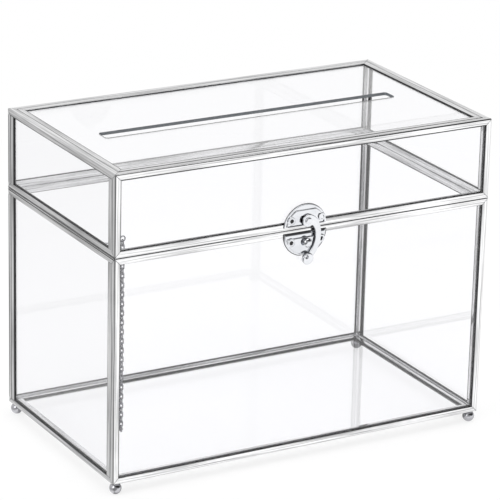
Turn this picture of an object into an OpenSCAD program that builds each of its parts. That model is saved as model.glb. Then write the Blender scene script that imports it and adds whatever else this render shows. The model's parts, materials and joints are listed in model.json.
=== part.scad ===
// Wedding card box: a glass case in a mitred came frame, with a hinged glass lid, a card slot,
// a swing-hook hasp, ball feet and an inside stay chain.
// Millimetres, +Z up, front towards -Y, origin under the middle of the case on the ground.

/* [Case] */
// Width of the case, left to right
case_w = 260; // [200:1:340]
// Depth of the case, front to rear
case_d = 146; // [120:1:200]
// Height of the case frame, bottom to top
case_h = 195; // [160:1:260]
// Height of the split between body and lid, above the frame's bottom
split_h = 143.5; // [110:0.5:150]
// Gap between the body rim and the lid rim
rim_gap = 0.3; // [0.2:0.05:0.6]

/* [Came] */
// Thickness of the came's sheet metal
came_t = 0.6; // [0.5:0.05:0.8]
// Width of the narrow outer flanges
flange_w = 3.8; // [3.6:0.1:6]
// Width of the broad outer flanges, on the lid's top, the case's bottom and the side panes
broad_w = 8.2; // [6.1:0.1:9.5]
// Reach of the narrow inner flanges from the outer corner
narrow_w = 4.6; // [4.2:0.1:6]
// Reach of the wide inner flanges from the outer corner
wide_w = 8.6; // [6.5:0.1:10]
// Reach of the rims' inner flanges from the split
rim_w = 5.2; // [4.4:0.1:7]
// Rounding of the frame's outer edges
edge_r = 0.8; // [0.3:0.1:1.5]

/* [Glass] */
// Thickness of the glass panes
glass_t = 2; // [1.6:0.1:3]
// Clearance between a pane and the came all round
glass_gap = 0.1; // [0.05:0.05:0.2]
// Length of the card slot in the lid's top pane
slot_len = 203.3; // [150:0.1:240]
// Width of the card slot
slot_w = 11; // [8:0.5:20]
// Corner radius of the card slot
slot_r = 2; // [1:0.5:4]

/* [Feet] */
// Radius of a ball foot
foot_r = 3.55; // [2.5:0.05:4.5]
// Height of the frame's bottom above the ground
foot_h = 7.3; // [6:0.1:12]
// Distance from the frame's faces to a foot's centre
foot_inset = 3.8; // [3.6:0.1:6]
// Depth of the flat ground on a foot's underside
foot_flat = 0.12; // [0.05:0.01:0.3]
// Radius of a foot's neck
neck_r = 1.6; // [1.2:0.1:2.2]

/* [Hinges] */
// Distance from the middle of the case to each hinge's middle
hinge_x = 52; // [30:1:75]
// Width of a hinge
hinge_w = 14; // [10:1:24]
// Thickness of a hinge leaf
leaf_t = 0.7; // [0.5:0.1:1]
// Radius of the hinge knuckles
knuckle_r = 1.8; // [1.6:0.1:2.4]
// Radius of the hinge pin
pin_r = 0.8; // [0.6:0.05:1]
// Gap between neighbouring knuckles
knuckle_gap = 0.3; // [0.2:0.05:0.5]
// Radius of the hinge pin's heads
pin_head_r = 1.3; // [1.2:0.1:1.6]
// Thickness of the hinge pin's heads
pin_head_t = 0.6; // [0.4:0.1:1]

/* [Hasp] */
// Sideways place of the hasp from the middle of the case
hasp_x = -1.4; // [-20:0.1:20]
// Radius of the hasp's two half-round plates
hasp_r = 14.8; // [14.2:0.1:16]
// Distance from the split to each plate's straight edge
hasp_edge = 2; // [1.6:0.1:3]
// Sideways place of the middle of the plates' arcs in the hasp
round_x = -0.6; // [-1:0.1:1]
// Height of the middle of the upper plate's arc above the split
round_up = 0.6; // [0.2:0.1:2]
// Depth of the middle of the lower plate's arc below the split
round_down = 2.4; // [0.5:0.1:3]
// Thickness of the plates
plate_t = 0.8; // [0.6:0.1:1.2]
// Height of the plates' raised platforms
platform_t = 0.8; // [0.5:0.1:1.2]
// Distance from a plate's rim to its platform
platform_inset = 1.3; // [1:0.1:2]
// Sideways place of the screw holes from the hasp's middle
screw_x = 10.5; // [9:0.1:10.8]
// Radius of the screw holes
screw_r = 1; // [0.8:0.1:1.3]
// Radius of the raised rings round the screw holes
boss_r = 2.4; // [2:0.1:2.6]
// Height of the hook's pivot above the split
pivot_z = 5.5; // [5:0.1:6.5]
// Depth of the catch stud below the split
stud_z = 8.4; // [8:0.1:9.5]
// Radius of the catch stud's neck
stud_neck_r = 2.2; // [1.8:0.1:2.4]
// Radius of the catch stud's head
stud_head_r = 2.9; // [2.6:0.1:3.4]
// Thickness of the swing hook
hook_t = 1.2; // [0.9:0.1:1.6]
// Radius of the hook's eye
eye_r = 4; // [3.4:0.1:4.4]
// Radius of the middle of the hook's crescent
crescent_r = 18.4; // [17.5:0.1:19.5]
// Width of the hook's crescent
crescent_w = 4; // [3:0.1:4.6]
// Radius of the hook's finger knob
knob_r = 3.7; // [3:0.1:4.2]
// Thickness of the hook's finger knob
knob_t = 2.4; // [1.8:0.1:3]

/* [Stay chain] */
// Distance from the left face to the chain
chain_x = 13; // [12:0.1:16]
// Distance from the front face to the run that hangs from the lid
chain_y = 15.9; // [15:0.1:18]
// Radius of the chain's wire
wire_r = 0.4; // [0.3:0.02:0.45]
// Radius of a link's ends, to the middle of the wire
link_r = 1; // [0.95:0.05:1.1]
// Length of a link's straight sides
link_side = 1.95; // [1.7:0.05:2.4]
// Links in the run that hangs from the body (an odd number)
body_links = 37; // [29:2:41]
// Links in the run that hangs from the lid (an odd number)
lid_links = 41; // [33:2:45]
// Radius of the jump ring that joins the two runs, to the middle of the wire
ring_r = 1.7; // [1.6:0.05:2]
// Depth of the body eyelet's pivot below the split
body_eye_z = 7.4; // [6.5:0.1:9]
// Radius of an eyelet's loop, to the middle of the wire
eyelet_r = 1.6; // [1.5:0.1:2]

/* [Hidden] */
$fn = 48;
FINE = 96;                                          // facets of the wires and of the large arcs
EPS = 0.01;
pocket_in = came_t + glass_t + 2 * glass_gap;      // depth of the pockets' inner side
heart = pocket_in + came_t;                         // side of the solid heart in the corners
pane_in = came_t + glass_gap;                       // depth of a pane's outer side
pane_edge = heart + glass_gap;                      // distance from a corner to a pane's edge
body_h = split_h - rim_gap / 2;                     // height of the body's frame
lid_h = case_h - split_h - rim_gap / 2;             // height of the lid's frame
split_z = foot_h + split_h;                         // height of the split above the ground
front_y = -case_d / 2;
rear_y = case_d / 2;

knuckle_fit = 0.05;                                 // radial clearance of the pin in a knuckle
knuckle_rub = 0.3;                                  // clearance between a knuckle and the frame
hinge_y = rear_y + knuckle_r + knuckle_rub;
knuckle_w = (hinge_w - 2 * knuckle_gap) / 3;
leaf_notch = 1.6;                                   // clearance of a leaf below the other's knuckles
pin_play = 0.1;                                     // end play of the pin's heads

hook_gap = 0.3;                                     // gap between a platform and the hook
boss_h = 0.12;                                      // height of a ring above its platform
screw_up = 6.2;                                     // heights of the screw holes from the split
screw_down = 7.6;
crease_z = 12.3;                                    // top of the upper platform
shelf_z = 5.2;                                      // top of the lower platform
pivot_x = 0.3;                                      // place of the hook's pivot in the hasp
rivet_r = 1.6;                                      // radius of the rivet's shoulder
rivet_fit = 0.05;                                   // radial clearance of the rivet in the hook
tail_r = 1.2;                                       // radius of the rivet's and stud's tails
rivet_head_r = 2.3;
rivet_head_t = 0.8;
stud_head_t = 1.7;
knob = [0.2, -18.5];                                // middle of the finger knob in the hasp
knob_hole_r = 0.9;
crescent_c = [-11.05, -4.1];                        // middle of the crescent's arc in the hasp
plate_y = front_y - plate_t;
platform_y = plate_y - platform_t;
hook_y = platform_y - hook_gap;

eye_opening = 60;                                   // angle left open between a loop's end and its shank
bead_r = wire_r + 0.1;                              // bead of solder where a loop meets its shank
link_pitch = link_side + link_r;
strand_y = chain_y + 2 * ring_r;                    // run that hangs from the body
body_run = run_length(body_links);
lid_run = run_length(lid_links);
body_pivot_z = split_z - body_eye_z;
ring_z = body_pivot_z - body_run;
lid_pivot_z = ring_z + lid_run;
chain_at = -case_w / 2 + chain_x;

// Distance between the two pivots of a run of interlinked links.
function run_length(links) = links * link_side + (links - 1) * link_r;

// ---------------------------------------------------------------- places

// Moves a shape from the case's front-left-bottom corner to its place over the ground.
module in_case() {
    translate([-case_w / 2, front_y, foot_h]) children();
}

// Turns the lid's pieces upside down, because the lid is built like the body.
module shell(is_lid) {
    if (is_lid) translate([0, 0, case_h]) mirror([0, 0, 1]) children();
    else children();
}

// Puts a piece made for the front left corner into the named corner.
module corner(name) {
    is_rear = name == "rear_left" || name == "rear_right";
    is_right = name == "front_right" || name == "rear_right";
    translate([is_right ? case_w : 0, is_rear ? case_d : 0, 0])
        mirror([is_right ? 1 : 0, 0, 0])
            mirror([0, is_rear ? 1 : 0, 0])
                children();
}

// Puts a strip made for the front side, along X, onto the named side.
module side(name) {
    if (name == "front") children();
    if (name == "rear") translate([0, case_d, 0]) mirror([0, 1, 0]) children();
    if (name == "left") mirror([1, -1, 0]) children();
    if (name == "right") translate([case_w, 0, 0]) mirror([1, 0, 0]) mirror([1, -1, 0]) children();
}

// Length of the strips on the named side.
function side_len(name) = name == "front" || name == "rear" ? case_w : case_d;

// ---------------------------------------------------------------- came strips

// Section of a corner came: two outer flanges, a solid heart and two inner flanges. Its first axis
// is the depth from face a, its second the depth from face b. The inner flanges on the two faces
// reach reach_a and reach_b, and the outer flange on face b is flange_b wide.
module corner_section(flange_b, reach_a, reach_b) {
    difference() {
        union() {
            square(heart);
            square([came_t, flange_w]);
            square([flange_b, came_t]);
            translate([pocket_in, 0]) square([came_t, reach_a]);
            translate([0, pocket_in]) square([reach_b, came_t]);
        }
        difference() {
            translate([-EPS, -EPS]) square(edge_r + EPS);
            translate([edge_r, edge_r]) circle(edge_r);
        }
    }
}

// Section of a rim: an outer flange, a web at the split and an inner flange.
module rim_section() {
    square([came_t, flange_w]);
    square([heart, came_t]);
    translate([pocket_in, 0]) square([came_t, rim_w]);
}

// A strip along X from 0 to len, its ends mitred at 45 degrees towards both of its faces.
module mitred_strip(len) {
    over = wide_w + 1;
    trapezoid = [[-1, -1], [len + 1, -1], [len - over, over], [over, over]];
    intersection() {
        rotate([90, 0, 90]) linear_extrude(len) children();
        linear_extrude(3 * over, center = true) polygon(trapezoid);
        rotate([90, 0, 0]) linear_extrude(3 * over, center = true) polygon(trapezoid);
    }
}

// Bottom came of the body, or top came of the lid.
module outer_came(name, is_lid) {
    color("silver")
        in_case() shell(is_lid) side(name)
            mitred_strip(side_len(name)) corner_section(broad_w, narrow_w, wide_w);
}

// Vertical came: wide flanges on the side pane, narrow flanges on the front or rear pane.
module post(name, is_lid) {
    height = is_lid ? lid_h : body_h;
    color("silver")
        in_case() shell(is_lid) corner(name) {
            multmatrix([[0, 1, 0, 0], [0, 0, 1, 0], [1, 0, 0, 0]])
                mitred_strip(height) corner_section(flange_w, narrow_w, narrow_w);
            translate([0, flange_w - came_t, flange_w])
                cube([came_t, broad_w - flange_w + came_t, height - 2 * flange_w]);
            translate([pocket_in, narrow_w - came_t, narrow_w])
                cube([came_t, wide_w - narrow_w + came_t, height - narrow_w - rim_w]);
        }
}

// Channel round the edge at the split.
module rim(name, is_lid) {
    height = is_lid ? lid_h : body_h;
    color("silver")
        in_case() shell(is_lid) side(name)
            translate([0, 0, height]) mirror([0, 0, 1])
                mitred_strip(side_len(name)) rim_section();
}

// ---------------------------------------------------------------- glass

// Upright pane of the body or the lid.
module wall_glass(name, is_lid) {
    height = is_lid ? lid_h : body_h;
    color([0.9, 0.94, 0.95, 0.35])
        in_case() shell(is_lid) side(name)
            translate([pane_edge, pane_in, pane_edge])
                cube([side_len(name) - 2 * pane_edge, glass_t, height - pane_edge - pane_in]);
}

// Lying pane: the floor, and without the slot also the lid's top.
module flat_pane() {
    translate([pane_edge, pane_edge, pane_in])
        cube([case_w - 2 * pane_edge, case_d - 2 * pane_edge, glass_t]);
}

module floor_glass() {
    color([0.9, 0.94, 0.95, 0.35]) in_case() flat_pane();
}

// Outline of the card slot about its middle.
module slot_outline() {
    square([slot_len - 2 * slot_r, slot_w], center = true);
    square([slot_len, slot_w - 2 * slot_r], center = true);
    for (sx = [-1, 1], sy = [-1, 1])
        translate([sx * (slot_len / 2 - slot_r), sy * (slot_w / 2 - slot_r)]) circle(slot_r);
}

module top_glass() {
    color([0.9, 0.94, 0.95, 0.35])
        difference() {
            in_case() shell(true) flat_pane();
            translate([0, 0, foot_h + case_h - heart])
                linear_extrude(2 * heart) slot_outline();
        }
}

// ---------------------------------------------------------------- feet

module foot(name) {
    color("silver")
        in_case() corner(name)
            translate([foot_inset, foot_inset, -foot_h]) {
                intersection() {
                    translate([0, 0, foot_r - foot_flat]) sphere(foot_r);
                    translate([-foot_r, -foot_r, 0]) cube(2 * foot_r);
                }
                translate([0, 0, foot_r]) cylinder(r = neck_r, h = foot_h - foot_r);
            }
}

// ---------------------------------------------------------------- hinges

// One leaf with its knuckles. The spans are [start, width] pairs along X, and way is -1 for the
// leaf below the pin and 1 for the leaf above it.
module hinge_leaf(spans, way, at) {
    color("silver")
        translate([at, hinge_y, split_z])
            difference() {
                union() {
                    for (span = spans)
                        translate([span[0], 0, 0]) {
                            rotate([0, 90, 0]) cylinder(r = knuckle_r, h = span[1]);
                            leaf_plate(span[1], way, 0);
                        }
                    translate([-hinge_w / 2, 0, 0]) leaf_plate(hinge_w, way, leaf_notch);
                }
                rotate([0, 90, 0])
                    cylinder(r = pin_r + knuckle_fit, h = 2 * hinge_w, center = true);
            }
}

// Flat of a leaf on the rim's outer flange, from a distance above or below the pin.
module leaf_plate(width, way, from) {
    reach = flange_w - rim_gap / 2;
    translate([0, rear_y - hinge_y, way > 0 ? from : -reach])
        cube([width, leaf_t, reach - from]);
}

module hinge_leaf_body(at) {
    hinge_leaf([[-hinge_w / 2, knuckle_w], [hinge_w / 2 - knuckle_w, knuckle_w]], -1, at);
}

module hinge_leaf_lid(at) {
    hinge_leaf([[-knuckle_w / 2, knuckle_w]], 1, at);
}

module hinge_pin(at) {
    half = hinge_w / 2 + pin_play + pin_head_t;
    color("gainsboro")
        translate([at, hinge_y, split_z])
            rotate([0, 90, 0]) {
                cylinder(r = pin_r, h = 2 * half - pin_head_t, center = true);
                for (end = [-half, half - pin_head_t])
                    translate([0, 0, end]) cylinder(r = pin_head_r, h = pin_head_t);
            }
}

// ---------------------------------------------------------------- hasp

// Stands a flat outline, drawn as x and height, on the plane y and gives it a thickness outwards.
module stand(y, thickness) {
    translate([hasp_x, y, split_z])
        rotate([90, 0, 0]) linear_extrude(thickness) children();
}

// Half-round outline of radius r about a plate's arc, from height low to high in the hasp.
module half_round(r, low, high) {
    middle = low + high > 0 ? round_up : -round_down;
    intersection() {
        translate([round_x, middle]) circle(r);
        translate([round_x - r, low]) square([2 * r, high - low]);
    }
}

// A hasp plate: stamped half-round with a raised platform and two ringed screw holes.
module hasp_plate(low, high, shelf_low, shelf_high, screw_at, tail_at) {
    edge = plate_t / 3;
    color("silver")
        difference() {
            union() {
                stand(front_y, plate_t) half_round(hasp_r, low, high);
                stand(plate_y + EPS, platform_t / 2 + EPS)
                    half_round(hasp_r - platform_inset, shelf_low, shelf_high);
                stand(plate_y, platform_t)
                    half_round(hasp_r - platform_inset - edge, shelf_low + edge, shelf_high - edge);
                for (sx = [-1, 1])
                    stand(plate_y, platform_t + boss_h)
                        translate([sx * screw_x, screw_at]) circle(boss_r);
            }
            for (sx = [-1, 1])
                stand(front_y + 1, plate_t + platform_t + 2)
                    translate([sx * screw_x, screw_at]) circle(screw_r);
            stand(front_y + 1, plate_t + platform_t + 2) translate(tail_at) circle(tail_r);
        }
}

module hasp_plate_upper() {
    hasp_plate(hasp_edge, hasp_edge + hasp_r, hasp_edge + EPS, crease_z, screw_up,
               [pivot_x, pivot_z]);
}

module hasp_plate_lower() {
    hasp_plate(-hasp_edge - hasp_r, -hasp_edge, -hasp_edge - hasp_r, -shelf_z, -screw_down,
               [0, -stud_z]);
}

// A turned piece that stands out of the front at a place in the hasp. Its outline is radius
// against the distance out from the case's face.
module turned(at, outline) {
    translate([hasp_x + at[0], front_y, split_z + at[1]])
        rotate([90, 0, 0]) rotate_extrude() polygon(outline);
}

// Shouldered rivet: tail in the plate, shoulder in the hook's eye, domed head in front.
module hasp_rivet() {
    shoulder = plate_t + platform_t;
    head = shoulder + hook_gap + hook_t + rivet_fit;
    color("gainsboro")
        turned([pivot_x, pivot_z], [
            [0, 0], [tail_r, 0], [tail_r, shoulder], [rivet_r, shoulder], [rivet_r, head],
            for (a = [0 : 15 : 90])
                [rivet_head_r - rivet_head_t * (1 - cos(a)), head + rivet_head_t * sin(a)],
            [0, head + rivet_head_t]
        ]);
}

// Mushroom-headed catch stud that the hook swings under.
module hasp_stud() {
    shoulder = plate_t + platform_t;
    head = shoulder + hook_gap + hook_t + 2 * rivet_fit;
    color("gainsboro")
        turned([0, -stud_z], [
            [0, 0], [tail_r, 0], [tail_r, shoulder], [stud_neck_r, shoulder], [stud_neck_r, head],
            for (a = [0 : 15 : 90])
                [stud_head_r - stud_head_t * (1 - cos(a)), head + stud_head_t * sin(a)],
            [0, head + stud_head_t]
        ]);
}

// Part of a ring between two angles, anticlockwise from the first axis.
module ring_sector(r, width, from, to) {
    rotate(from) rotate_sector(r + width / 2, to - from)
        difference() {
            circle(r + width / 2, $fn = FINE);
            circle(r - width / 2, $fn = FINE);
        }
}

// Keeps what of a shape lies within an angle of less than 180 degrees from the first axis.
module rotate_sector(r, angle) {
    intersection() {
        children();
        polygon([[0, 0], [2 * r, 0], [2 * r * cos(angle / 2), 2 * r * sin(angle / 2)],
                 [2 * r * cos(angle), 2 * r * sin(angle)]]);
    }
}

// Swing hook: an eye on the rivet, a crescent round the stud's right side, a finger knob below.
module hasp_hook() {
    pivot = [pivot_x, pivot_z];
    to_knob = knob - crescent_c;
    to_eye = [0, pivot_z] - crescent_c;
    low = atan2(to_knob[1], to_knob[0]);
    high = asin(to_eye[1] / crescent_r);
    color("silver")
        difference() {
            union() {
                stand(hook_y, hook_t) {
                    translate(pivot) circle(eye_r);
                    translate(crescent_c) ring_sector(crescent_r, crescent_w, low, high);
                    translate(crescent_c + crescent_r * [cos(high), sin(high)])
                        circle(crescent_w / 2);
                }
                stand(hook_y, knob_t) translate(knob) circle(knob_r);
            }
            stand(hook_y + 1, hook_t + 2) translate(pivot) circle(rivet_r + rivet_fit);
            stand(hook_y + 1, knob_t + 2) translate(knob + [-1.1, 1.5]) circle(knob_hole_r);
        }
}

// ---------------------------------------------------------------- stay chain

// One oval link in the YZ plane about its middle.
module link() {
    for (up = [0, 1])
        mirror([0, 0, up]) {
            translate([0, 0, link_side / 2])
                rotate([90, 0, 90]) rotate_extrude(angle = 180) translate([link_r, 0]) circle(wire_r);
            mirror([0, up, 0])
                translate([0, link_r, -link_side / 2]) cylinder(r = wire_r, h = link_side);
        }
}

// A run of interlinked links that hangs from its upper pivot. Every second link is turned by 90
// degrees, and each link's end passes through the middle of its neighbour's end.
module run(links) {
    for (i = [0 : links - 1])
        translate([0, 0, -link_side / 2 - i * link_pitch]) rotate(90 * (i % 2)) link();
}

module chain_run_body() {
    color("silver") translate([chain_at, front_y + strand_y, body_pivot_z]) run(body_links);
}

module chain_run_lid() {
    color("silver") translate([chain_at, front_y + chain_y, lid_pivot_z]) run(lid_links);
}

// Ring that lies between the two runs at the bottom of the loop.
module chain_jump_ring() {
    color("silver")
        translate([chain_at, front_y + chain_y + ring_r, ring_z])
            rotate_extrude() translate([ring_r, 0]) circle(wire_r);
}

// Wire eyelet bent from one wire: a shank from the left rim's inner flange, and an open loop in the
// XZ plane whose lowest point is the pivot. The shank meets the loop at its top or its bottom, in a
// small bead of solder.
module eyelet(y, pivot_height, shank_up) {
    reach = chain_x - heart;
    color("silver")
        translate([chain_at, front_y + y, pivot_height + eyelet_r])
            mirror([0, 0, shank_up ? 0 : 1]) {
                rotate([90, 0, 0]) rotate(90 + eye_opening) rotate_extrude(angle = 360 - eye_opening)
                    translate([eyelet_r, 0]) circle(wire_r);
                translate([-reach, 0, eyelet_r]) rotate([0, 90, 0]) cylinder(r = wire_r, h = reach);
                translate([0, 0, eyelet_r]) rotate([0, 90, 0])
                    cylinder(r = bead_r, h = 2 * bead_r, center = true);
            }
}

module chain_eyelet_body() {
    eyelet(strand_y, body_pivot_z, true);
}

module chain_eyelet_lid() {
    eyelet(chain_y, lid_pivot_z, false);
}

outer_came("front", false);  // base_came_front
outer_came("rear", false);  // base_came_rear
outer_came("left", false);  // base_came_left
outer_came("right", false);  // base_came_right
post("front_left", false);  // body_post_front_left
post("front_right", false);  // body_post_front_right
post("rear_left", false);  // body_post_rear_left
post("rear_right", false);  // body_post_rear_right
rim("front", false);  // body_rim_front
rim("rear", false);  // body_rim_rear
rim("left", false);  // body_rim_left
rim("right", false);  // body_rim_right
wall_glass("front", false);  // body_glass_front
wall_glass("rear", false);  // body_glass_rear
wall_glass("left", false);  // body_glass_left
wall_glass("right", false);  // body_glass_right
floor_glass();
foot("front_left");  // foot_front_left
foot("front_right");  // foot_front_right
foot("rear_left");  // foot_rear_left
foot("rear_right");  // foot_rear_right
outer_came("front", true);  // top_came_front
outer_came("rear", true);  // top_came_rear
outer_came("left", true);  // top_came_left
outer_came("right", true);  // top_came_right
post("front_left", true);  // lid_post_front_left
post("front_right", true);  // lid_post_front_right
post("rear_left", true);  // lid_post_rear_left
post("rear_right", true);  // lid_post_rear_right
rim("front", true);  // lid_rim_front
rim("rear", true);  // lid_rim_rear
rim("left", true);  // lid_rim_left
rim("right", true);  // lid_rim_right
wall_glass("front", true);  // lid_glass_front
wall_glass("rear", true);  // lid_glass_rear
wall_glass("left", true);  // lid_glass_left
wall_glass("right", true);  // lid_glass_right
top_glass();
hinge_leaf_body(-hinge_x);  // hinge_leaf_body_left
hinge_leaf_lid(-hinge_x);  // hinge_leaf_lid_left
hinge_pin(-hinge_x);  // hinge_pin_left
hinge_leaf_body(hinge_x);  // hinge_leaf_body_right
hinge_leaf_lid(hinge_x);  // hinge_leaf_lid_right
hinge_pin(hinge_x);  // hinge_pin_right
hasp_plate_upper();
hasp_rivet();
hasp_hook();
hasp_plate_lower();
hasp_stud();
chain_eyelet_body();
chain_run_body();
chain_jump_ring();
chain_run_lid();
chain_eyelet_lid();
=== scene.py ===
"""Looks of the wedding card box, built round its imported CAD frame.

The box is a glass case in a mitred, nickel-plated came frame. Each sub-assembly is a class that
builds its meshes where the frame says, gives them their finish and puts them on their body.
"""

import json
import logging
import math
from dataclasses import dataclass, field
from enum import Enum
from typing import Iterable, Sequence

import bmesh
import bpy
from mathutils import Matrix, Vector

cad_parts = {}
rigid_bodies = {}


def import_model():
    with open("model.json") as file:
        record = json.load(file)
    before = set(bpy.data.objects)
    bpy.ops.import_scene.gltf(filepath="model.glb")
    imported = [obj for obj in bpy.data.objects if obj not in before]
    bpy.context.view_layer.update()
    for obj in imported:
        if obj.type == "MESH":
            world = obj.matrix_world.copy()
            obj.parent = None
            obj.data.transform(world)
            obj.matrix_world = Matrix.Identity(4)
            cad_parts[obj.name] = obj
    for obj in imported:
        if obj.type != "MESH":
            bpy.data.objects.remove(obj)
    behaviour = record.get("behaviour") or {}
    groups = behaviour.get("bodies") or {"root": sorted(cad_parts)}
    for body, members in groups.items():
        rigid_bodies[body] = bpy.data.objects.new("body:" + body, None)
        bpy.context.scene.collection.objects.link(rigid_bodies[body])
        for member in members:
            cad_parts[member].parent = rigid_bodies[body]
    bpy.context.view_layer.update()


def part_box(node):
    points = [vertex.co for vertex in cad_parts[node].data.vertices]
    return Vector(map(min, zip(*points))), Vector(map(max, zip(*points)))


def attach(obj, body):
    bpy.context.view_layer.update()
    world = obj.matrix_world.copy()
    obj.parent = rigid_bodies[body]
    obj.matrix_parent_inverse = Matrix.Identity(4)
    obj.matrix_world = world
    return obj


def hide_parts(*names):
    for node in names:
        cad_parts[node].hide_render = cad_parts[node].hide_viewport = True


LOG = logging.getLogger("card_box")
MM = 0.001
SHARP_ANGLE = math.radians(32)
SAME_PLACE = 1e-7  # metres
STRIP_MAP = "strip"

# Settings of the nodes that are used most.
MULTIPLY = {"operation": "MULTIPLY"}
SUBTRACT = {"operation": "SUBTRACT"}
MAXIMUM = {"operation": "MAXIMUM"}
SMOOTH_STEP = {"interpolation_type": "SMOOTHSTEP"}

Point = tuple[float, float]
Span = tuple[float, float]
Triple = tuple[float, float, float]
Outline = list[Point]
Ring = tuple[list[float], Outline]


class Side(Enum):
    """A side of the case, seen from the front."""

    FRONT = "front"
    REAR = "rear"
    LEFT = "left"
    RIGHT = "right"


class Shell(Enum):
    """The two shells of the case, with the name of the body that each one is."""

    BODY = "body"
    LID = "lid"


# ---- nodes and materials


def linear(hex_colour: str) -> tuple[float, float, float, float]:
    """Turns an sRGB hex colour into linear RGBA.

    Args:
        hex_colour: Six hex digits, with or without a leading #.

    Returns:
        The colour as linear values with an alpha of 1.
    """
    digits = hex_colour.lstrip("#")
    parts = [int(digits[i:i + 2], 16) / 255 for i in (0, 2, 4)]
    straight = [c / 12.92 if c <= 0.04045 else ((c + 0.055) / 1.055) ** 2.4 for c in parts]
    return (straight[0], straight[1], straight[2], 1.0)


def add_node(tree: bpy.types.NodeTree, kind: str, settings: dict | None = None,
             inputs: dict | None = None) -> bpy.types.Node:
    """Adds a node, sets its properties and fills or links its inputs.

    Args:
        tree: The node tree to add to.
        kind: The node's type name.
        settings: Node properties by name.
        inputs: Values or output sockets by input name or index.

    Returns:
        The new node.
    """
    node = tree.nodes.new(kind)
    for name, value in (settings or {}).items():
        setattr(node, name, value)
    for key, value in (inputs or {}).items():
        socket = node.inputs[key]
        if isinstance(value, bpy.types.NodeSocket):
            tree.links.new(value, socket)
        else:
            socket.default_value = value
    return node


def empty_material(name: str) -> tuple[bpy.types.Material, bpy.types.NodeTree]:
    """Makes a material that has no nodes yet.

    Args:
        name: The material's name.

    Returns:
        The material and its node tree.
    """
    material = bpy.data.materials.new(name)
    material.use_nodes = True
    material.node_tree.nodes.clear()
    return material, material.node_tree


# ---- outlines


def on_circle(centre: Point, radius: float, turn: float) -> Point:
    """Point on a circle, at an angle in degrees."""
    angle = math.radians(turn)
    return centre[0] + radius * math.cos(angle), centre[1] + radius * math.sin(angle)


def arc(centre: Point, radius: float, start: float, end: float, chords: int) -> Outline:
    """Points on an arc.

    Args:
        centre: The arc's centre.
        radius: The arc's radius.
        start: First angle in degrees.
        end: Last angle in degrees.
        chords: Number of chords.

    Returns:
        The points, both ends included.
    """
    return [on_circle(centre, radius, start + (end - start) * i / chords) for i in range(chords + 1)]


def circle(centre: Point, radius: float, count: int = 24) -> Outline:
    """Evenly spaced points round a circle."""
    return arc(centre, radius, 0, 360 - 360 / count, count - 1)


def dome(radius: float, base: float, height: float, start: int, step: int) -> Outline:
    """Points over a domed head, from its edge to its top.

    Args:
        radius: The head's radius.
        base: Height at which the dome starts.
        height: Height of the dome over its base.
        start: First angle in degrees.
        step: Degrees between two points.

    Returns:
        The points, as radius and height.
    """
    return [(radius * math.cos(angle), base + height * math.sin(angle))
            for angle in (math.radians(turn) for turn in range(start, 91, step))]


def eased(start: Point, leave: float, arrive: float, end: Point, pull: float, chords: int) -> Outline:
    """Points on a cubic Bezier curve between two points, without the two points themselves.

    Args:
        start: First point.
        leave: Direction at the first point, in degrees.
        arrive: Direction at the last point, in degrees.
        end: Last point.
        pull: Length of both handles.
        chords: Number of chords.

    Returns:
        The points between start and end.
    """
    a, b = math.radians(leave), math.radians(arrive)
    p = [Vector(start), Vector(start) + pull * Vector((math.cos(a), math.sin(a))),
         Vector(end) - pull * Vector((math.cos(b), math.sin(b))), Vector(end)]
    points = []
    for i in range(1, chords):
        t = i / chords
        at = (1 - t) ** 3 * p[0] + 3 * t * (1 - t) ** 2 * p[1] + 3 * t * t * (1 - t) * p[2] + t ** 3 * p[3]
        points.append((at.x, at.y))
    return points


def metres(points: Sequence[Point]) -> Outline:
    """Points in metres, from millimetres."""
    return [(x * MM, y * MM) for x, y in points]


# ---- places


def mirror(axis: int, extent: float) -> Matrix:
    """Mirrors along an axis, so that 0 and an extent change places.

    Args:
        axis: 0, 1 or 2 for X, Y or Z.
        extent: Where the origin goes, in metres.

    Returns:
        The matrix.
    """
    shift, scale = [0.0, 0.0, 0.0], [1.0, 1.0, 1.0, 1.0]
    shift[axis], scale[axis] = extent, -1.0
    return Matrix.Translation(shift) @ Matrix.Diagonal(scale)


def axes_along(x: Sequence[float], y: Sequence[float], z: Sequence[float]) -> Matrix:
    """Matrix that lays the local axes along three directions."""
    return Matrix((x, y, z)).transposed().to_4x4()


def node_box(node: str) -> tuple[Vector, Vector]:
    """Low and high corner of a CAD node, in metres."""
    low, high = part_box(node)
    return Vector(low), Vector(high)


def front_place(x: float, y: float, z: float) -> Matrix:
    """Place of a flat piece on the front: local X to the right, local Y up, local Z outwards."""
    return Matrix.Translation((x, y, z)) @ Matrix.Rotation(math.radians(90), 4, "X")


# ---- meshes


def linked(name: str, data: bpy.types.ID) -> bpy.types.Object:
    """Makes an object at the origin and links it to the scene.

    Args:
        name: The object's name.
        data: Its mesh, curve, lamp or camera.

    Returns:
        The object.
    """
    made = bpy.data.objects.new(name, data)
    bpy.context.scene.collection.objects.link(made)
    return made


def shade(mesh: bpy.types.Mesh, smooth: bool) -> None:
    """Shades every face of a mesh smooth or flat."""
    mesh.polygons.foreach_set("use_smooth", [smooth] * len(mesh.polygons))


def finish_mesh(name: str, bm: bmesh.types.BMesh, smooth: bool = True) -> bpy.types.Object:
    """Turns a bmesh into an object at the origin with merged doubles and outward faces.

    Args:
        name: The piece's name.
        bm: The mesh in metres, in the row frame. It is freed.
        smooth: True to shade smooth, apart from the edges sharper than SHARP_ANGLE.

    Returns:
        The new object, linked to the scene.
    """
    bmesh.ops.remove_doubles(bm, verts=bm.verts, dist=SAME_PLACE)
    bmesh.ops.dissolve_degenerate(bm, edges=bm.edges, dist=SAME_PLACE)
    bmesh.ops.recalc_face_normals(bm, faces=bm.faces)
    mesh = bpy.data.meshes.new(name)
    bm.to_mesh(mesh)
    bm.free()
    if smooth:
        shade(mesh, True)
        mesh.set_sharp_from_angle(angle=SHARP_ANGLE)
    return linked(name, mesh)


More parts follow.
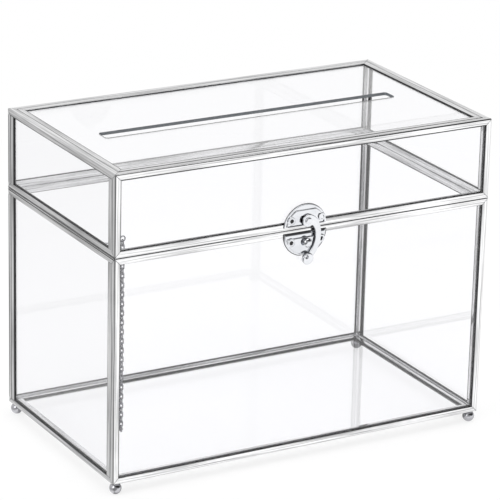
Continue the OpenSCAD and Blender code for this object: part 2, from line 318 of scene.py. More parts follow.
def applied(source: bpy.types.Object) -> bpy.types.Object:
    """Replaces an object by a plain one that has its evaluated mesh.

    Args:
        source: An object with modifiers, or a curve. It is removed.

    Returns:
        A plain mesh object of the same name at the origin.
    """
    bpy.context.view_layer.update()
    graph = bpy.context.evaluated_depsgraph_get()
    mesh = bpy.data.meshes.new_from_object(source.evaluated_get(graph))
    mesh.transform(source.matrix_world)
    name, old = source.name, source.data
    bpy.data.objects.remove(source)
    if old.users == 0 and isinstance(old, bpy.types.Mesh):
        bpy.data.meshes.remove(old)
    mesh.name = name
    return linked(name, mesh)


def lathe(bm: bmesh.types.BMesh, profile: Outline, place: Matrix, facets: int = 48) -> None:
    """Turns a closed profile about the local Z axis and adds it to a bmesh.

    Args:
        bm: The mesh to add to.
        profile: Radius and height pairs in metres, from the axis round to the axis again.
        place: Where the piece goes.
        facets: Facets round the axis.
    """
    rings = []
    for radius, height in profile:
        if radius < SAME_PLACE:
            rings.append([bm.verts.new(place @ Vector((0, 0, height)))])
            continue
        turns = [2 * math.pi * k / facets for k in range(facets)]
        rings.append([bm.verts.new(place @ Vector((radius * math.cos(a), radius * math.sin(a), height)))
                      for a in turns])
    for low, high in zip(rings, rings[1:]):
        if len(low) == 1 and len(high) == 1:
            continue
        for k in range(facets):
            n = k + 1
            corners = [low[k % len(low)], low[n % len(low)], high[n % len(high)], high[k % len(high)]]
            bm.faces.new(list(dict.fromkeys(corners)))


def add_line(curve: bpy.types.Curve, points: Sequence[Sequence[float]], closed: bool) -> None:
    """Adds a line through points to a curve.

    Args:
        curve: The curve to add to.
        points: The points, in metres.
        closed: True for a loop.
    """
    spline = curve.splines.new("POLY")
    spline.points.add(len(points) - 1)
    for target, point in zip(spline.points, points):
        target.co = (*point, 1)
    spline.use_cyclic_u = closed


def plate(name: str, loops: Sequence[Outline], thickness: float, bevel: float, place: Matrix,
          bevel_steps: int) -> bpy.types.Object:
    """Makes a flat plate with rounded edges from an outline and holes.

    Args:
        name: The piece's name.
        loops: The outer outline and any holes, in metres.
        thickness: Thickness along local Z, from 0 upwards.
        bevel: Radius of the rounded edges.
        place: Where the plate goes.
        bevel_steps: Facets over a rounded edge.

    Returns:
        The plate as a plain mesh object.
    """
    curve = bpy.data.curves.new(name, "CURVE")
    curve.dimensions = "2D"
    curve.fill_mode = "BOTH"
    for loop in loops:
        add_line(curve, [(x, y, 0) for x, y in loop], True)
    curve.extrude = thickness / 2 - bevel
    curve.bevel_depth = bevel
    curve.bevel_resolution = bevel_steps
    curve.offset = -bevel
    raw = applied(linked(name, curve))
    bm = bmesh.new()
    bm.from_mesh(raw.data)
    bpy.data.objects.remove(raw)
    bmesh.ops.transform(bm, matrix=place @ Matrix.Translation((0, 0, thickness / 2)), verts=bm.verts)
    return finish_mesh(name, bm)


def joined(name: str, parts: Iterable[bpy.types.Object]) -> bpy.types.Object:
    """Joins mesh objects into one.

    Args:
        name: The joined piece's name.
        parts: Mesh objects at the origin. They are removed.

    Returns:
        The joined object.
    """
    bm = bmesh.new()
    for part in parts:
        bm.from_mesh(part.data)
        bpy.data.objects.remove(part)
    return finish_mesh(name, bm)


# ---- finishes


@dataclass(frozen=True)
class PlatedMetal:
    """Bright nickel plate over folded, stamped or turned metal, with streaks along the piece."""

    name: str
    colour: str
    shade: str
    roughness: float
    line_mm: float
    line_depth: float
    streak: float = 0.9
    stretch: float = 1.0
    strip_map: str = ""
    streak_span: Span = (0.36, 0.58)
    cloud_mm: float = 9.0
    cloud_span: Span = (0.35, 0.75)
    dulling: Span = (0.7, 1.6)
    relief_mm: float = 0.02
    detail: float = 3.0

    def build(self) -> bpy.types.Material:
        """Builds the finish.

        Returns:
            The material: a metal with drawing lines, cloudy polish and a little dulling.
        """
        material, tree = empty_material(self.name)
        place = add_node(tree, "ShaderNodeTexCoord").outputs["Object"]
        along, scale = place, 1 / (self.line_mm * MM)
        if self.strip_map:
            along = add_node(tree, "ShaderNodeUVMap", {"uv_map": self.strip_map}).outputs["UV"]
            scale = 1 / self.line_mm
        stretched = add_node(tree, "ShaderNodeMapping", {}, {
            "Vector": along, "Scale": (1 / self.stretch, 1.0, 1.0)})
        lines = add_node(tree, "ShaderNodeTexNoise", {}, {
            "Vector": stretched.outputs["Vector"], "Scale": scale, "Detail": self.detail})
        cloud = add_node(tree, "ShaderNodeTexNoise", {}, {
            "Vector": place, "Scale": 1 / (self.cloud_mm * MM), "Detail": self.detail})
        dull = add_node(tree, "ShaderNodeMapRange", {}, {
            "Value": cloud.outputs["Fac"], "From Min": self.cloud_span[0], "From Max": self.cloud_span[1],
            "To Min": self.roughness * self.dulling[0], "To Max": self.roughness * self.dulling[1]})
        tint = add_node(tree, "ShaderNodeMix", {"data_type": "RGBA"}, {
            "Factor": cloud.outputs["Fac"], "A": linear(self.colour), "B": linear(self.shade)})
        streaks = add_node(tree, "ShaderNodeMapRange", {}, {
            "Value": lines.outputs["Fac"], "From Min": self.streak_span[0], "From Max": self.streak_span[1],
            "To Min": self.streak, "To Max": 1.0})
        worn = add_node(tree, "ShaderNodeVectorMath", {"operation": "SCALE"}, {
            0: tint.outputs["Result"], "Scale": streaks.outputs["Result"]})
        bump = add_node(tree, "ShaderNodeBump", {}, {
            "Height": lines.outputs["Fac"], "Strength": self.line_depth, "Distance": self.relief_mm * MM})
        shader = add_node(tree, "ShaderNodeBsdfPrincipled", {}, {
            "Base Color": worn.outputs["Vector"], "Metallic": 1.0,
            "Roughness": dull.outputs["Result"], "Normal": bump.outputs["Normal"]})
        add_node(tree, "ShaderNodeOutputMaterial", {}, {"Surface": shader.outputs["BSDF"]})
        return material


@dataclass(frozen=True)
class ClearGlass:
    """Float glass of a display case: clear, with a faint cool tint, and open to the lamps' light."""

    name: str
    colour: str
    ior: float
    specular: float
    roughness: float

    def build(self) -> bpy.types.Material:
        """Builds the finish.

        Returns:
            The material: glass that lets the lamps' rays through, so that it casts no dark shadow.
        """
        material, tree = empty_material(self.name)
        glass = add_node(tree, "ShaderNodeBsdfPrincipled", {}, {
            "Base Color": linear(self.colour), "Roughness": self.roughness, "IOR": self.ior,
            "Specular IOR Level": self.specular, "Transmission Weight": 1.0})
        clear = add_node(tree, "ShaderNodeBsdfTransparent", {}, {"Color": linear(self.colour)})
        rays = add_node(tree, "ShaderNodeLightPath")
        mix = add_node(tree, "ShaderNodeMixShader", {}, {
            0: rays.outputs["Is Shadow Ray"], 1: glass.outputs["BSDF"], 2: clear.outputs["BSDF"]})
        add_node(tree, "ShaderNodeOutputMaterial", {}, {"Surface": mix.outputs["Shader"]})
        return material


@dataclass(frozen=True)
class MattFill:
    """A matt, pitted solid: a ground glass edge, glazing cement with painted shade, and a painted shade fill.
    """

    name: str
    colour: str
    # A second colour, painted in as the brightness where the fill is seen from behind, through glass.
    inside: str
    roughness: float
    pit_mm: float
    pit_span: Span = (0.3, 0.7)
    pit_shade: float = 0.75
    bump: float = 0.4
    relief_mm: float = 0.05
    detail: float = 2.0

    def build(self) -> bpy.types.Material:
        """Builds the finish.

        Returns:
            The material, with a second, painted brightness where it is seen from behind, through glass.
        """
        material, tree = empty_material(self.name)
        place = add_node(tree, "ShaderNodeTexCoord").outputs["Object"]
        behind = add_node(tree, "ShaderNodeNewGeometry").outputs["Backfacing"]
        colour = add_node(tree, "ShaderNodeMix", {"data_type": "RGBA"}, {
            "Factor": behind, "A": linear(self.colour), "B": linear(self.inside)})
        pits = add_node(tree, "ShaderNodeTexNoise", {}, {
            "Vector": place, "Scale": 1 / (self.pit_mm * MM), "Detail": self.detail})
        depth = add_node(tree, "ShaderNodeMapRange", {}, {
            "Value": pits.outputs["Fac"], "From Min": self.pit_span[0], "From Max": self.pit_span[1],
            "To Min": self.pit_shade, "To Max": 1.0})
        speckled = add_node(tree, "ShaderNodeVectorMath", {"operation": "SCALE"}, {
            0: colour.outputs["Result"], "Scale": depth.outputs["Result"]})
        bump = add_node(tree, "ShaderNodeBump", {}, {
            "Height": pits.outputs["Fac"], "Strength": self.bump, "Distance": self.relief_mm * MM})
        shader = add_node(tree, "ShaderNodeBsdfPrincipled", {}, {
            "Base Color": speckled.outputs["Vector"], "Roughness": self.roughness,
            "Normal": bump.outputs["Normal"]})
        add_node(tree, "ShaderNodeOutputMaterial", {}, {"Surface": shader.outputs["BSDF"]})
        return material


class Finishes:
    """The finishes of the box, each built once."""

    def __init__(self) -> None:
        """Builds every finish."""
        # Nickel-plated brass came, roll-formed: mirror bright, with draw lines along the strip.
        self.came = PlatedMetal("nickel_plated_came", "#EAEAEA", "#D8D8DA", roughness=0.08, line_mm=0.9,
                                line_depth=0.3, streak=0.5, stretch=70.0, strip_map=STRIP_MAP).build()
        # Tarnished tin solder in the mitres: dark and dull between the bright strips.
        self.seam = PlatedMetal("tin_solder_seam", "#6A6A6C", "#464648", roughness=0.3, line_mm=0.4,
                                line_depth=0.5).build()
        # Nickel-plated stamped steel of the hasp: mirror bright, slightly pillowed by the press.
        self.stamped = PlatedMetal("nickel_plated_stamping", "#D6D7DA", "#BEC0C4", roughness=0.08,
                                   line_mm=0.9, line_depth=0.04, streak=0.96).build()
        # Nickel-plated rolled steel of the hinges: bright, with the fine grain of the bending.
        self.rolled = PlatedMetal("nickel_plated_hinge", "#E2E2E4", "#C8C8CC", roughness=0.12,
                                  line_mm=0.3, line_depth=0.2).build()
        # Polished nickel-plated balls of the feet: a darker copy of the plate, painted shade for the room
        # and floor that they mirror.
        self.ball = PlatedMetal("shaded_nickel_plated_ball", "#BEBEC2", "#A6A6AA", roughness=0.06, line_mm=0.8,
                                line_depth=0.08).build()
        # Nickel-plated steel wire of the chain, a little dulled, in a darker copy of the plate as painted
        # shade.
        self.wire = PlatedMetal("shaded_nickel_plated_wire", "#A2A2A6", "#74747A", roughness=0.16, line_mm=0.3,
                                line_depth=0.15).build()
        # Tin solder in the joints: softer and greyer than the plate.
        self.solder = PlatedMetal("tin_solder", "#CFCFD0", "#A9A9AC", roughness=0.22, line_mm=0.4,
                                  line_depth=0.5).build()
        # Clear float glass with a faint cool tint. Its weak mirroring keeps the panes plain.
        self.glass = ClearGlass("clear_float_glass", "#FDFDFE", ior=1.5, specular=0.1, roughness=0.0).build()
        # Ground edge of the card slot: grey and matt, with painted shade where it is seen through the pane.
        self.edge = MattFill("ground_glass_edge", "#7C8084", "#303235", roughness=0.55, pit_mm=0.3).build()
        # Black glazing cement between the came and the panes: matt, with fine pits. It is laid wider than
        # cement would be, as painted shadow and reflection lines.
        self.cement_and_painted_shade = MattFill("black_sealing_and_painted_shade", "#262628", "#3A3A3C", roughness=0.5,
                               pit_mm=0.4).build()
        # Painted shade behind the hasp's plates: an almost black, half matt sheet that shows as shadow in the
        # screw holes and round the plates.
        self.painted_hasp_shade = MattFill("black_painted_shade", "#0E0E10", "#141416", roughness=0.45, pit_mm=0.5).build()


# ---- the case's sizes


@dataclass
class Case:
    """Where the case's faces are, read from the frame, in metres."""

    x0: float = field(init=False)
    x1: float = field(init=False)
    y0: float = field(init=False)
    y1: float = field(init=False)
    bottom: float = field(init=False)
    body_top: float = field(init=False)
    lid_bottom: float = field(init=False)
    top: float = field(init=False)

    def __post_init__(self) -> None:
        """Reads the faces from the nodes that lie in them."""
        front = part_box("body_rim_front")
        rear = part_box("body_rim_rear")
        self.x0, self.x1 = front[0][0], front[1][0]
        self.y0, self.y1 = front[0][1], rear[1][1]
        self.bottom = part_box("base_came_front")[0][2]
        self.body_top = front[1][2]
        self.lid_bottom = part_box("lid_rim_front")[0][2]
        self.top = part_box("top_came_front")[1][2]

    @property
    def width(self) -> float:
        """Width of the case."""
        return self.x1 - self.x0

    @property
    def depth(self) -> float:
        """Depth of the case."""
        return self.y1 - self.y0

    @property
    def split(self) -> float:
        """Height of the split between the shells."""
        return (self.body_top + self.lid_bottom) / 2

    def shell_height(self, shell: Shell) -> float:
        """Height of a shell's frame."""
        return self.body_top - self.bottom if shell is Shell.BODY else self.top - self.lid_bottom

    def shell_place(self, shell: Shell) -> Matrix:
        """Place of a shell whose closed face is local z = 0 and whose corner is the local origin.

        Args:
            shell: The body stands on its closed face, and the lid hangs from it.

        Returns:
            The matrix, which mirrors the lid.
        """
        if shell is Shell.BODY:
            return Matrix.Translation((self.x0, self.y0, self.bottom))
        return Matrix.Translation((self.x0, self.y0, 0)) @ mirror(2, self.top)

    def side_place(self, side: Side) -> Matrix:
        """Puts what is made along the front side, along X, onto another side of the shell.

        Args:
            side: The side.

        Returns:
            The matrix, in the shell's own space.
        """
        swap = axes_along((0, 1, 0), (1, 0, 0), (0, 0, 1))
        return {Side.FRONT: Matrix.Identity(4), Side.REAR: mirror(1, self.depth), Side.LEFT: swap,
                Side.RIGHT: mirror(0, self.width) @ swap}[side]

    def side_length(self, side: Side) -> float:
        """Length of the case along a side."""
        return self.width if side in (Side.FRONT, Side.REAR) else self.depth


# ---- came frame


@dataclass(frozen=True)
class CameSizes:
    """Sizes of the came's sections, in millimetres, and the chords of their roundings."""

    sheet: float = 0.6
    flange: float = 3.8
    broad: float = 8.2
    pocket: float = 2.8
    heart: float = 3.4
    narrow: float = 4.6
    wide: float = 7.7
    rim_reach: float = 4.5
    edge_radius: float = 0.95
    rim_radius: float = 0.3
    hem: float = 0.14
    hem_turn: float = -75
    crown: float = 0.05
    seam: float = 0.02
    seam_width: float = 0.18
    post_clearance: float = 0.05
    face_chords: int = 8
    edge_chords: int = 6
    rim_chords: int = 4
    hem_chords: int = 3


@dataclass(frozen=True)
class LineSizes:
    """Sizes of the dark lines along the came, in millimetres.

    A sealing line is cement between a flange's edge and its pane, widened side by side as painted
    shadow and reflection. A reflection line is a painted dark reflection where a flange leaves the corner
    angle. Offsets are distances from the flange's edge and depths from its face.
    """

    # Depth of a pane's outer and inner face.
    pane_face: float = 0.69
    pane_back: float = 2.71
    # Outer sealing lines, cement and painted shade: their foot, and their crest with and without a painted
    # dark lip over the flange.
    tuck: float = 0.1
    crest: Point = (-0.02, 0.2)
    dark_lip_depth: float = 0.03
    dark_lip_crest: tuple[Point, ...] = ((-0.05, 0.045), (0.03, 0.16))
    # Inner sealing lines, cement and painted shade: slim at the front and left, full at the rear and right.
    inner_tuck: float = 0.02
    slim_reach: float = 0.12
    slim_depth: float = 0.1
    full_reach: float = 0.35
    full_edge: float = 0.05
    full_rise: float = 0.03
    full_sink: float = 0.02
    full_lip_rear: float = 0.3
    full_lip_right: float = 0.6
    # Reach of the base's and the top's line over the flat pane, and over the flange.
    flat_lines: dict[Side, Span] = field(default_factory=lambda: {
        Side.FRONT: (0.4, 0.9), Side.REAR: (0.02, 0.0), Side.LEFT: (0.4, 0.5), Side.RIGHT: (0.2, 0.15)})
    # Reach of the same strips' line over the wall's pane, and its painted dark lip over the flange.
    wall_reach: float = 0.65
    base_front_reach: float = 0.4
    wall_dark_lip: float = 0.3
    # Reach of the rims' line over the pane.
    body_rim_reach: float = 0.15
    lid_rim_reach: float = 0.22
    lid_left_rim_reach: float = 0.55
    # Reach of the posts' lines on the front or rear, and on the side with its painted dark lip.
    post_reach: float = 0.7
    post_side: Span = (0.5, 0.25)
    # Painted reflection lines where a flange leaves the corner angle: their section, places and widths.
    reflection_line_root: float = 0.1
    reflection_line_edge: float = 0.002
    reflection_line_rise: float = 0.012
    reflection_line_width: float = 0.45
    front_reflection_line_width: float = 1.2
    rear_post_reflection_line_width: float = 0.75
    rim_reflection_line_width: float = 0.7
    strip_reflection_line: float = 4.3
    front_post_reflection_lines: tuple[float, ...] = (3.1,)
    rear_post_reflection_lines: tuple[float, ...] = (1.35, 4.5)
    rim_reflection_line: float = 0.7


@dataclass
class CameFrame:
    """The mitred strips of nickel-plated came: base and top strips, posts and rims.

    Each strip is a section in two depths, u from one face and v from the other.
    """

    # Material index of the plate, of the solder in a mitre and of the dark lines of cement and painted shade.
    PLATE, SEAM, DARK = range(3)

    case: Case
    finishes: Finishes
    size: CameSizes = field(default_factory=CameSizes)
    line: LineSizes = field(default_factory=LineSizes)

    @staticmethod
    def swapped(points: Outline) -> Outline:
        """The same points mirrored over the diagonal."""
        return [(v, u) for u, v in points]

    def flange_face(self, start: float, end: float) -> Outline:
        """Outer face of a flange, slightly crowned.

        Args:
            start: Where the flange starts.
            end: Where its rolled edge ends.

        Returns:
            The points, as a distance along the flange and a depth.
        """
        k = self.size
        middle, half = (start + end) / 2, (end - start) / 2
        points = []
        for i in range(k.face_chords + 1):
            u = start + (end - k.hem - start) * i / k.face_chords
            points.append((u, k.crown * max(0.0, (u - middle) / half) ** 2))
        return points + arc((end - k.hem, k.crown + k.hem), k.hem, k.hem_turn, 0, k.hem_chords)

    def half_corner(self, flange: float, reach: float) -> Outline:
        """Half of the corner section on the u side of the diagonal.

        Args:
            flange: Width of the outer flange.
            reach: Reach of the inner one.

        Returns:
            The points, from the corner inwards.
        """
        k = self.size
        r, t, e = k.edge_radius, k.sheet, k.hem
        corner = arc((r, r), r, 225, 270, k.edge_chords)
        face = self.flange_face(r, flange)[1:]
        back = [(flange, t - e)] + arc((flange - e, t - e), e, 0, 90, k.hem_chords)[1:]
        leg = [(k.heart, t), (k.heart, k.pocket), (reach - e, k.pocket)]
        leg += arc((reach - e, k.pocket + e), e, -90, 0, k.hem_chords)[1:]
        leg += arc((reach - e, k.heart - e), e, 0, 90, k.hem_chords)
        return corner + face + back + leg + [(k.heart, k.heart)]

    def corner_section(self, low: Span, high: Span) -> tuple[Outline, list[list[int]]]:
        """Section of a corner strip.

        Args:
            low: Width of the outer flange along u, and reach of the inner one.
            high: Width of the outer flange along v, and reach of the inner one.

        Returns:
            The closed outline, and the index lists of its flat end pieces.
        """
        first = self.half_corner(*low)
        second = self.swapped(self.half_corner(*high))
        outline = first + list(reversed(second))[1:-1]
        count, turn = len(outline), len(first)
        return outline, [list(range(turn)), list(range(turn - 1, count)) + [0]]

    def rim_section(self) -> tuple[Outline, list[list[int]]]:
        """Section of a rim: u is the depth from the wall's face, v the distance from the split.

        Returns:
            The closed outline, and the index lists of its flat end pieces.
        """
        k = self.size
        t, p, h, e, r = k.sheet, k.pocket, k.heart, k.hem, k.rim_radius
        web = arc((r, r), r, 225, 270, k.hem_chords)
        web += arc((h - r, r), r, -90, 0, k.rim_chords) + [(h, h)]
        inner = arc((h - e, k.rim_reach - e), e, 0, 90, k.hem_chords)
        inner += arc((p + e, k.rim_reach - e), e, 90, 180, k.hem_chords) + [(p, p)]
        under = [(p, t), (t, t)]
        face = self.swapped(self.flange_face(r, k.flange))
        outer = [(t, k.flange - e), (t - e, k.flange)] + list(reversed(face))
        outline = web + inner + under + outer
        a, b = len(web), len(web) + len(inner)
        c = b + len(under)
        ends = [list(range(a)) + [b - 1, b, b + 1], list(range(a - 1, b)),
                list(range(c - 1, len(outline))) + [0]]
        return outline, ends

    def beside(self, edge: float, offsets: Sequence[Point], on_v: bool) -> Outline:
        """Section of a dark line.

        Args:
            edge: Distance of the flange's edge from the corner.
            offsets: Distances from that edge, and depths.
            on_v: True for a flange on the face that v measures from.

        Returns:
            The outline, in depths.
        """
        shape = [(edge + out, depth) for out, depth in offsets]
        return shape if on_v else self.swapped(shape)

    def bead(self, edge: float, on_v: bool, width: float, lip: float = 0.0) -> Outline:
        """Section of the dark sealing line along an outer flange's edge: cement widened as painted shade.

        Args:
            edge: Distance of the edge from the corner.
            on_v: True for a flange on the face that v measures from.
            width: How far the line reaches over the pane.
            lip: How far it reaches over the flange as a painted dark lip.

        Returns:
            The outline, in depths.
        """
        k = self.line
        crest = [(-lip, k.dark_lip_depth), *k.dark_lip_crest] if lip else [k.crest]
        return self.beside(edge, [*crest, (width, k.pane_face), (-k.tuck, k.pane_face)], on_v)

    def inner_bead(self, edge: float, on_v: bool, side: Side) -> Outline:
        """Section of an inner flange's sealing line, cement and painted shade, fuller at the rear and right.

        Args:
            edge: Distance of the edge from the corner.
            on_v: True for a flange on the face that v measures from.
            side: The side that the strip is on.

        Returns:
            The outline, in depths.
        """
        k, heart = self.line, self.size.heart
        if side in (Side.FRONT, Side.LEFT):
            offsets = [(-k.inner_tuck, heart - k.slim_depth), (k.slim_reach, k.pane_back)]
        else:
            lip = k.full_lip_rear if side is Side.REAR else k.full_lip_right
            offsets = [(-lip, heart - k.full_sink), (k.full_edge - lip, heart + k.full_rise),
                       (k.full_edge, heart), (k.full_reach, k.pane_back)]
        return self.beside(edge, [*offsets, (-k.inner_tuck, k.pane_back)], on_v)

    def painted_reflection_line(self, at: float, on_v: bool, width: float) -> Outline:
        """Section of a painted reflection line where a flange leaves the corner angle.

        Args:
            at: Distance of the line's middle from the corner.
            on_v: True for a flange on the face that v measures from.
            width: The line's width.

        Returns:
            The outline, in depths.
        """
        k, half = self.line, width / 2
        return self.beside(at, [(-half, -k.reflection_line_edge), (0.0, -k.reflection_line_rise), (half, -k.reflection_line_edge),
                                (half, k.reflection_line_root), (-half, k.reflection_line_root)], on_v)

    def loft(self, bm: bmesh.types.BMesh, rings: Sequence[list], ends: list[list[int]],
             kinds: Sequence[int]) -> None:
        """Skins rings of vertices and closes both ends.

        Args:
            bm: The mesh to add to.
            rings: Lists of vertices of one outline each.
            ends: Index lists of the flat pieces of an end.
            kinds: Material index of each span between rings, and of the ends as the last entry.
        """
        layer = bm.loops.layers.uv.active
        count = len(rings[0])
        around = [0.0]
        for k in range(count):
            a, b = rings[0][k].co.copy(), rings[0][(k + 1) % count].co.copy()
            a.x = b.x = 0
            around.append(around[-1] + (a - b).length / MM)
        for low, high, kind in zip(rings, rings[1:], kinds):
            for k in range(count):
                n = (k + 1) % count
                face = bm.faces.new((low[k], low[n], high[n], high[k]))
                face.material_index = kind
                for loop, v in zip(face.loops, (around[k], around[k + 1], around[k + 1], around[k])):
                    loop[layer].uv = (loop.vert.co.x / MM, min(v, around[-1] - v))
        for ring in (rings[0], rings[-1]):
            for piece in ends:
                bm.faces.new([ring[k] for k in piece]).material_index = kinds[-1]

    def mitred(self, outline: Outline, length: float, middle: Sequence[Ring] = ()) -> list[Ring]:
        """Rings of a strip whose two ends are mitred at 45 degrees towards both faces.

        Args:
            outline: Section at both ends.
            length: Length of the strip at its corner, in millimetres.
            middle: Further rings between the mitres.

        Returns:
            The rings, each with the positions of its points along the strip.
        """
        k = self.size
        depth = [max(point) for point in outline]
        near, far = k.seam, k.seam + k.seam_width
        return [([d + near for d in depth], outline), ([d + far for d in depth], outline), *middle,
                ([length - d - far for d in depth], outline),
                ([length - d - near for d in depth], outline)]

    @staticmethod
    def straight_line(shape: Outline, start: float, end: float) -> list[Ring]:
        """Rings of a dark line with square ends."""
        return [([start] * len(shape), shape), ([end] * len(shape), shape)]

    @staticmethod
    def mitred_line(shape: Outline, length: float) -> list[Ring]:
        """Rings of a dark line that is mitred at both ends."""
        depth = [max(point) for point in shape]
        return [(depth, shape), ([length - d for d in depth], shape)]

    def strip(self, node: str, shell: Shell, place: Matrix, rings: Sequence[Ring],
              ends: list[list[int]], lines: Sequence[Sequence[Ring]]) -> None:
        """Makes one strip along local X, with u and v along local Y and Z.

        Args:
            node: The CAD node that the strip stands for.
            shell: The shell that it belongs to.
            place: Where the strip goes, in metres.
            rings: The strip's rings, from one end to the other.
            ends: Index lists of the flat pieces of an end.
            lines: The two rings of each dark line.
        """
        bm = bmesh.new()
        bm.loops.layers.uv.new(STRIP_MAP)

        def skin(ring: Ring) -> list:
            """The vertices of one ring."""
            return [bm.verts.new(Vector((x, u, v)) * MM) for x, (u, v) in zip(*ring)]

        plated = [self.PLATE] * (len(rings) - 3)
        self.loft(bm, [skin(ring) for ring in rings], ends, [self.SEAM, *plated, self.SEAM, self.SEAM])
        for line in lines:
            self.loft(bm, [skin(ring) for ring in line], [list(range(len(line[0][0])))], [self.DARK] * 2)
        bmesh.ops.transform(bm, matrix=place, verts=bm.verts)
        piece = finish_mesh(f"{node}_strip", bm)
        for finish in (self.finishes.came, self.finishes.seam, self.finishes.cement_and_painted_shade):
            piece.data.materials.append(finish)
        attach(piece, shell.value)
        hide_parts(node)

    def outer_strip(self, shell: Shell, side: Side) -> None:
        """Builds a strip of the body's base or the lid's top, its broad flanges on the flat pane.

        Args:
            shell: The shell that it closes.
            side: The side that it runs along.
        """
        k, line = self.size, self.line
        node = f"{'base' if shell is Shell.BODY else 'top'}_came_{side.value}"
        outline, ends = self.corner_section((k.broad, k.wide), (k.flange, k.narrow))
        length = self.case.side_length(side) / MM
        dark_lip = 0.0 if shell is Shell.BODY and side is not Side.LEFT else line.wall_dark_lip
        reach = line.base_front_reach if shell is Shell.BODY and side is Side.FRONT else line.wall_reach
        step = line.front_reflection_line_width if side is Side.FRONT else line.reflection_line_width
        # Dark lines: cement with painted shade along the flanges' edges, and a painted reflection line.
        shapes = [self.bead(k.broad, True, *line.flat_lines[side]),
                  self.bead(k.flange, False, reach, dark_lip),
                  self.inner_bead(k.narrow, False, side), self.painted_reflection_line(line.strip_reflection_line, True, step)]
        if shell is Shell.BODY or side is not Side.REAR:
            shapes.append(self.inner_bead(k.wide, True, side))
        place = self.case.shell_place(shell) @ self.case.side_place(side)
        self.strip(node, shell, place, self.mitred(outline, length), ends,
                   [self.mitred_line(shape, length) for shape in shapes])

    def rim(self, shell: Shell, side: Side) -> None:
        """Builds a rim strip at the split.

        Args:
            shell: The shell whose open side it edges.
            side: The side that it runs along.
        """
        k, line = self.size, self.line
        outline, ends = self.rim_section()
        length = self.case.side_length(side) / MM
        lid_reach = line.lid_left_rim_reach if side is Side.LEFT else line.lid_rim_reach
        reach = line.body_rim_reach if shell is Shell.BODY else lid_reach
        # Dark lines: cement with painted shade along the flanges' edges, and on the left a painted reflection
        # line.
        shapes = [self.bead(k.flange, False, reach), self.inner_bead(k.rim_reach, False, side)]
        if side is Side.LEFT:
            shapes.append(self.painted_reflection_line(line.rim_reflection_line, False, line.rim_reflection_line_width))
        place = (self.case.shell_place(shell) @ self.case.side_place(side)
                 @ mirror(2, self.case.shell_height(shell)))
        self.strip(f"{shell.value}_rim_{side.value}", shell, place, self.mitred(outline, length), ends,
                   [self.mitred_line(shape, length) for shape in shapes])

    def post(self, shell: Shell, rear: bool, right: bool) -> None:
        """Builds a corner post, its broad flanges on the side pane.

        Args:
            shell: The shell that it belongs to.
            rear: True for a post at the rear.
            right: True for a post on the right.
        """
        k, line = self.size, self.line
        height = self.case.shell_height(shell) / MM
        slim = (k.flange, k.narrow)
        thin, ends = self.corner_section(slim, slim)
        full, _ = self.corner_section(slim, (k.broad, k.wide))
        reach = [max(point) for point in thin]
        clear = k.seam + k.seam_width + k.post_clearance
        low = [max(k.flange, d + clear) for d in reach]
        high = [height - (max(k.rim_reach, a) if d > k.flange else a) for a, d in zip(low, reach)]
        rings = self.mitred(thin, height, [(low, thin), (low, full), (high, full), (high, thin)])
        outer, inner = (k.flange, height - k.flange), (k.narrow, height - k.rim_reach)
        steps, width = ((line.rear_post_reflection_lines, line.rear_post_reflection_line_width) if rear
                        else (line.front_post_reflection_lines, line.reflection_line_width))
        # Dark lines: cement with painted shade along the flanges' edges, and painted reflection lines.
        lines = [self.straight_line(shape, *span) for shape, span in (
            (self.bead(k.flange, True, line.post_reach), outer),
            (self.bead(k.broad, False, *line.post_side), outer),
            (self.inner_bead(k.narrow, True, Side.REAR if rear else Side.FRONT), inner),
            (self.inner_bead(k.wide, False, Side.RIGHT if right else Side.LEFT), inner),
            *((self.painted_reflection_line(at, False, width), outer) for at in steps))]
        place = axes_along((0, 0, 1), (1, 0, 0), (0, 1, 0))
        place = self.case.side_place(Side.REAR if rear else Side.FRONT) @ place
        if right:
            place = mirror(0, self.case.width) @ place
        corner = f"{'rear' if rear else 'front'}_{'right' if right else 'left'}"
        self.strip(f"{shell.value}_post_{corner}", shell, self.case.shell_place(shell) @ place,
                   rings, ends, lines)

    def build(self) -> None:
        """Builds every strip of both shells."""
        for shell in Shell:
            for side in Side:
                self.outer_strip(shell, side)
                self.rim(shell, side)
            for rear in (False, True):
                for right in (False, True):
                    self.post(shell, rear, right)


# ---- glass


